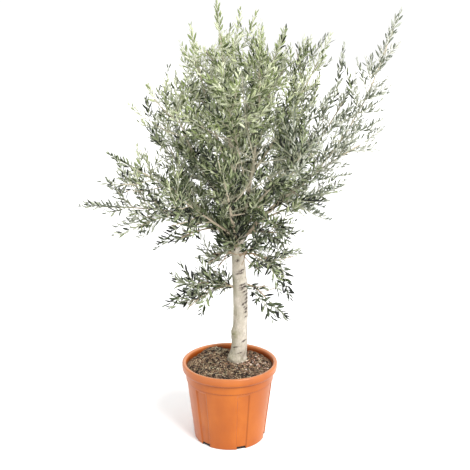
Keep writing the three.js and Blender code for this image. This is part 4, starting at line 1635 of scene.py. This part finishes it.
def turnedSolid(name, profile, depth):  # stores each point's painted shade: over 1 the darker painted shade of the hollows, under 0 the painted highlight on the lip
    angles = fluteAngles()
    points, shades = [], []
    rows = profile[1:-1]
    for radius, z, mark, shade in rows:
        for angle, flute in angles:
            r = radius - depth * mark * flute
            points.append((r * math.cos(angle), r * math.sin(angle), z))
            # the flutes' edges take painted shade
            shades.append(max(shade, mark * pot["edgeShade"] * flute * (1 - flute)) if mark else shade)
    points += [(0, 0, profile[0][1]), (0, 0, profile[-1][1])]
    made = meshObject(name, points, faces=skinFaces(len(rows), len(angles)))
    storeValues(made.data, "crease", [*shades, 0, 0])
    return made


def markDrains(mesh):  # which faces lie inside the drain notches, where the material paints shade
    wide, tall, inner = pot["drainWidth"] / 2, pot["drainHeight"], pot["footRadius"] - pot["drainDepth"] / 2
    period, slack = 360 / pot["flutes"], 0.3
    marks = []
    for face in mesh.polygons:
        x, y, z = face.center / mm
        radius, turn = math.hypot(x, y), math.degrees(math.atan2(y, x)) - pot["firstFlute"]
        offset = math.radians((turn + period / 2) % period - period / 2)
        across, along = radius * math.sin(offset), radius * math.cos(offset)
        within = inner - 0.5 < along < bodyRadius(z) - 0.4  # behind the outer surface
        marks.append(within and z < tall + slack and abs(across) < wide + slack)
    storeValues(mesh, "drain", marks, domain="FACE")


def drainCutter():  # a block with its upper corners cut off, at the foot of each flute
    wide, tall, deep = pot["drainWidth"] / 2, pot["drainHeight"], pot["drainDepth"] / 2
    outline = [(-wide, -5), (wide, -5), (wide, tall - 4), (wide - 1.2, tall - 1.2), (wide - 4, tall)]
    outline += [(4 - wide, tall), (1.2 - wide, tall - 1.2), (-wide, tall - 4)]
    around = len(outline)
    points, faces = [], []
    for flute in range(pot["flutes"]):
        turn = math.radians(pot["firstFlute"] + flute * 360 / pot["flutes"])
        c, s = math.cos(turn), math.sin(turn)
        ends = [tuple(range(around))[::-1], tuple(range(around, 2 * around))]
        faces += [tuple(len(points) + i for i in face) for face in ends + bandFaces(2, around)]
        for x in (pot["footRadius"] - deep, pot["footRadius"] + deep):
            points += [(x * c - y * s, x * s + y * c, z) for y, z in outline]
    cutter = meshObject("drains", points, faces=faces)
    # the cut faces take full painted shade
    storeValues(cutter.data, "crease", [1] * len(points))
    return cutter


def makePot(material):
    (plainFoot, fluteFoot), (fluteTop, plainTop) = pot["fluteFoot"], pot["fluteTop"]
    inner = pot["collarRadius"] - pot["wall"]
    base, hollow, step, collarRadius = bodyRadius(0), pot["hollow"], pot["step"], pot["collarRadius"]
    rimRadius, rimFoot, height = pot["rimRadius"], pot["rimFoot"], pot["height"]
    # the fourth numbers are painted shade: in the undercuts, the step and under the pot, more on the inner
    # wall, and under 0 a painted highlight on the rim's top
    profile = rounded([
        (0, hollow, 0, 0, 0),
        (base - pot["footRing"] - 4, hollow, 0, 1, 2),
        (base - pot["footRing"], 0, 0, 1, 2),
        (base - 2, 0, 0, 0.6, 3),
        (bodyRadius(plainFoot), plainFoot, 0, 0, 2),
        (bodyRadius(fluteFoot), fluteFoot, 1, 0, 3),
        (bodyRadius(fluteTop), fluteTop, 1, 0, 3),
        (bodyRadius(plainTop), plainTop, 0, 0, 2),
        (bodyRadius(step - 2), step - 2, 0, 0.4, 0),
        (bodyRadius(step), step, 0, 1, 0.5),
        (collarRadius, step + 0.6, 0, 0.7, 0.8),
        (collarRadius + 0.3, step + 5, 0, 0, 0),
        (collarRadius + 1.2, rimFoot - 9, 0, 0, 0),
        (collarRadius + 1.6, rimFoot - 3, 0, 0.8, 0),
        (collarRadius + 2, rimFoot + 3, 0, 1, 2),
        (rimRadius - 4, rimFoot + 0.5, 0, 0.6, 3.5),
        (rimRadius - 0.5, rimFoot + 9, 0, 0, 7),
        (rimRadius, height, 0, -0.2, 13),
        (rimRadius - pot["lipWidth"], height, 0, -1, 6),
        # the inner wall: painted shade with soil dirt
        (inner, height - 12, 0, 1.1, 6),
        (inner, height - 36, 0, 1.2, 0),
        (inner, height - 48, 0, 1.2, 8),
        (bodyRadius(fluteTop) - pot["wall"], fluteTop, 1, 1, 6),
        (bodyRadius(12 + hollow) - pot["wall"], 12 + hollow, 1, 1, 3),
        (bodyRadius(4 + hollow) - pot["wall"] - 4, 4 + hollow, 0.8, 1, 2),
        (0, 4 + hollow, 0, 1, 0),
    ])
    piece = turnedSolid("potBody", profile, pot["fluteDepth"])
    cutter = drainCutter()
    cut = piece.modifiers.new("drains", "BOOLEAN")
    cut.operation = "DIFFERENCE"
    cut.solver = "MANIFOLD"
    cut.object = cutter
    piece = settled(piece)
    markDrains(piece.data)
    bpy.data.objects.remove(cutter)
    finishPiece(piece, ["pot"], material)


def potMaterial():
    material, tree, shader = newMaterial("orangePlastic")
    patches, grain = addGrain(tree, 0.11, 1.6, 3.0)
    colour = addRamp(tree, patches, list(zip((0.3, 0.5, 0.7), plastic["colours"])))
    crease = addAttribute(tree, "crease")
    # painted shade in the creases, near-black painted shade in the hollows and drain notches, and a painted
    # highlight along the lip
    coats = [
        (addRange(tree, crease, 0.0, 1.0, (0.0, 0.75)), "edges"),
        (addRange(tree, crease, 1.1, 1.6), "inside"),
        (addAttribute(tree, "drain"), "drains"),
        (addRange(tree, crease, -1.0, 0.0, (plastic["lipHighlightShare"], 0.0)), "lipHighlight"),
    ]
    for share, coat in coats:
        colour = addMix(tree, share, colour, linear(plastic[coat]))
    tree.links.new(colour, shader["Base Color"])
    shader["Specular IOR Level"].default_value = plastic["specular"]
    tree.links.new(addRange(tree, grain, 0.3, 0.7, plastic["roughness"]), shader["Roughness"])
    addBump(tree, shader, grain, 0.04, 0.0005)
    return material


# Soil

soil = {
    "level": 312,
    "humps": 5,
    "levelSpot": (42, 102),  # level this far round the trunk, then humped from here on
    "rings": 46,
    "around": 150,
    "under": (285, 245, 30, 13),  # heights of the rings below the surface
    "play": 0.4,  # between soil and wall
    "clods": 5.2,
    "mound": (-66, 138, 64, 18),  # heaped against the wall: middle, spread and height
    "reach": 175,  # how far from the pot's middle the loose pieces lie
    "edge": 177,
    "trunkClear": 38,
    "proud": 0.1,  # how far the middle of a loose piece stands over the soil, as a share of its size
    "tilt": 60,
    "paleShare": 0.4,
}


def soilTop(x, y):
    rise = float(smoothstep(math.hypot(x - foot[0], y - foot[1]), *soil["levelSpot"]))
    hump = math.sin(x / 31 + 1.2) * math.cos(y / 37 - 0.4)
    place = np.array([x, y, 0.0])
    rough = soil["clods"] * fractal(place, 17, 3) + 0.9 * fractal(place + 70, 5, 2)
    middleX, middleY, spread, height = soil["mound"]
    heap = height * math.exp(-((x - middleX) ** 2 + (y - middleY) ** 2) / spread ** 2)
    return soil["level"] + rise * (soil["humps"] * (hump - 0.2) + heap) + rough * (0.5 + 0.5 * rise)


def makeSoil(material):
    edge = pot["collarRadius"] - pot["wall"] - soil["play"]
    rings = [(edge * (ring / soil["rings"]) ** 0.85, None) for ring in range(1, soil["rings"] + 1)]
    rings += [(min(edge, bodyRadius(z) - pot["wall"] - pot["fluteDepth"] - 1), z) for z in soil["under"]]
    points = []
    for radius, z in rings:
        for k in range(soil["around"]):
            turn = wholeTurn * k / soil["around"]
            x, y = radius * math.cos(turn), radius * math.sin(turn)
            points.append((x, y, soilTop(x, y) if z is None else z))
    points += [(0, 0, soilTop(0, 0)), (0, 0, soil["under"][-1])]
    faces = skinFaces(len(rings), soil["around"], turnOver=True)
    piece = meshObject("soilBody", points, faces=faces)
    piece.data.shade_smooth()
    finishPiece(piece, ["soil"], material)


def looseRows(count, low, high, seed, spot=None, flat=0.3):  # places, with sizes from low to high
    random = randomStream(seed)
    rows = []
    while len(rows) < count:
        turn, far = wholeTurn * random(), soil["reach"] * math.sqrt(random())
        x, y = far * math.cos(turn), far * math.sin(turn)
        if spot:
            near = spot[2] * math.sqrt(-2 * math.log(random() + 1e-9))
            x, y = spot[0] + near * math.cos(turn), spot[1] + near * math.sin(turn)
        size = lerp(low, high, random() ** 2)
        if math.hypot(x, y) + size > soil["edge"]:
            continue
        if math.hypot(x - foot[0], y - foot[1]) < soil["trunkClear"]:
            continue
        way = direction(360 * random(), swing(random, soil["tilt"] * flat))
        face = unit(up + direction(360 * random(), 0) * flat * random())
        place = np.array([x, y, soilTop(x, y) + size * soil["proud"]]) - foot
        rows.append((*place, *way, *face, size, math.floor(3 * random()), random() < soil["paleShare"]))
    return rows


lumpHeight = 0.72  # shares of the lump's width and of the straw's length
strawRadius = 0.022


def makeLump(subdivisions, seed, rough):  # a unit lump with an uneven surface
    shape = bmesh.new()
    bmesh.ops.create_icosphere(shape, subdivisions=subdivisions, radius=0.5)
    random = randomStream(seed)
    for vertex in shape.verts:
        vertex.co *= 1 + swing(random, rough)
        vertex.co.z *= lumpHeight
    mesh = bpy.data.meshes.new("lump")
    shape.to_mesh(mesh)
    shape.free()
    return linkObject("lump", mesh)


def makeStraw(bend):  # a unit straw along X, three-sided and bent
    rings = []
    for share in (0, 0.35, 0.7, 1):
        centre = np.array([share - 0.5, bend * share ** 2, 0.08 * math.sin(3 * share)])
        turns = ringTurns(3)
        rings.append(centre + strawRadius * np.stack([turns * 0, np.cos(turns), np.sin(turns)], axis=1))
    points, faces = ringTube(rings)
    return meshObject("straw", points, faces=faces, scale=1)


looseColours = {  # with the roughness
    "darkCrumb": (0x2b1e14, 0.95),
    "brownCrumb": (0x6b5340, 0.95),
    "tanCrumb": (0xbaa283, 0.95),
    "mossyCrumb": (0x86835a, 0.95),
    "russetCrumb": (0x956247, 0.95),
    "paleStraw": (0xe8dcba, 0.8),
    "brownStraw": (0x8c7456, 0.85),
    "paleStone": (0xd0bcae, 0.8),
    "warmStone": (0xb08e7b, 0.8),
}
loose = {  # shapes, colours, seed of the widths, and what looseRows takes
    "crumbsDark": ("lumps", "darkCrumb", "brownCrumb", 3, (2200, 2.5, 13, 101)),
    "crumbsTan": ("lumps", "tanCrumb", "brownCrumb", 4, (1100, 2, 8, 211)),
    "crumbsMoss": ("lumps", "mossyCrumb", "tanCrumb", 5, (560, 2, 6, 307, (-70, -60, 56))),
    "crumbsRusset": ("lumps", "russetCrumb", "brownCrumb", 9, (420, 2.5, 7, 353, (95, 60, 55))),
    "straws": ("straws", "paleStraw", "brownStraw", 6, (420, 8, 30, 401, None, 0.6)),
    "strawsBack": ("straws", "paleStraw", "paleStraw", 7, (260, 7, 22, 503, (-46, 146, 21), 0.6)),
    "stones": ("pebbles", "paleStone", "warmStone", 8, (90, 4, 11, 601, (112, 12, 42))),
}


def makeLoose():
    shapes = {
        "lumps": partsCollection("crumbShapes", [makeLump(1, seed, 0.9) for seed in (3, 17, 29)]),
        "pebbles": partsCollection("stoneShapes", [makeLump(2, seed, 0.35) for seed in (5, 13, 41)]),
        "straws": partsCollection("strawShapes", [makeStraw(bend) for bend in (0.05, 0.2, -0.3)]),
    }
    surfaces = {}
    for name, (colour, roughness) in looseColours.items():
        surfaces[name] = plainMaterial(name, linear(colour), roughness)
    for name, (shape, first, second, seed, lying) in loose.items():
        materials = [surfaces[first], surfaces[second]]
        finishPiece(makeParts(name, looseRows(*lying), shapes[shape], materials, seed), ["soil"])


def soilMaterial():
    material, tree, shader = newMaterial("pottingSoil")
    patches, grain = addGrain(tree, 0.012)
    base = addRamp(tree, grain, [(0.3, 0x2a1e15), (0.47, 0x5c4938), (0.6, 0x8a7156), (0.74, 0xbaa27f)])
    tree.links.new(base, shader["Base Color"])
    shader["Roughness"].default_value = 0.95
    addBump(tree, shader, patches, 0.6, 0.002)
    return material


# All the pieces

thinWood = {  # paths, sides and bark
    "twigs": (twigPaths, 8, "youngBark"),
    "shoots": (shootPaths, 5, "shootBark"),
    "paleTwigs": (palePaths, 6, "paleBark"),
}
makeStage()
print("stage made")
makePot(potMaterial())
makeSoil(soilMaterial())
makeLoose()
surfaces = {name: barkMaterial(name) for name in barks}
makeTrunk(surfaces["oldBark"])
makeBoughs(surfaces["youngBark"])
for name, (paths, sides, surface) in thinWood.items():
    finishPiece(makeTubes(name, paths, sides, surfaces[surface]), massNames)
makeLeaves()
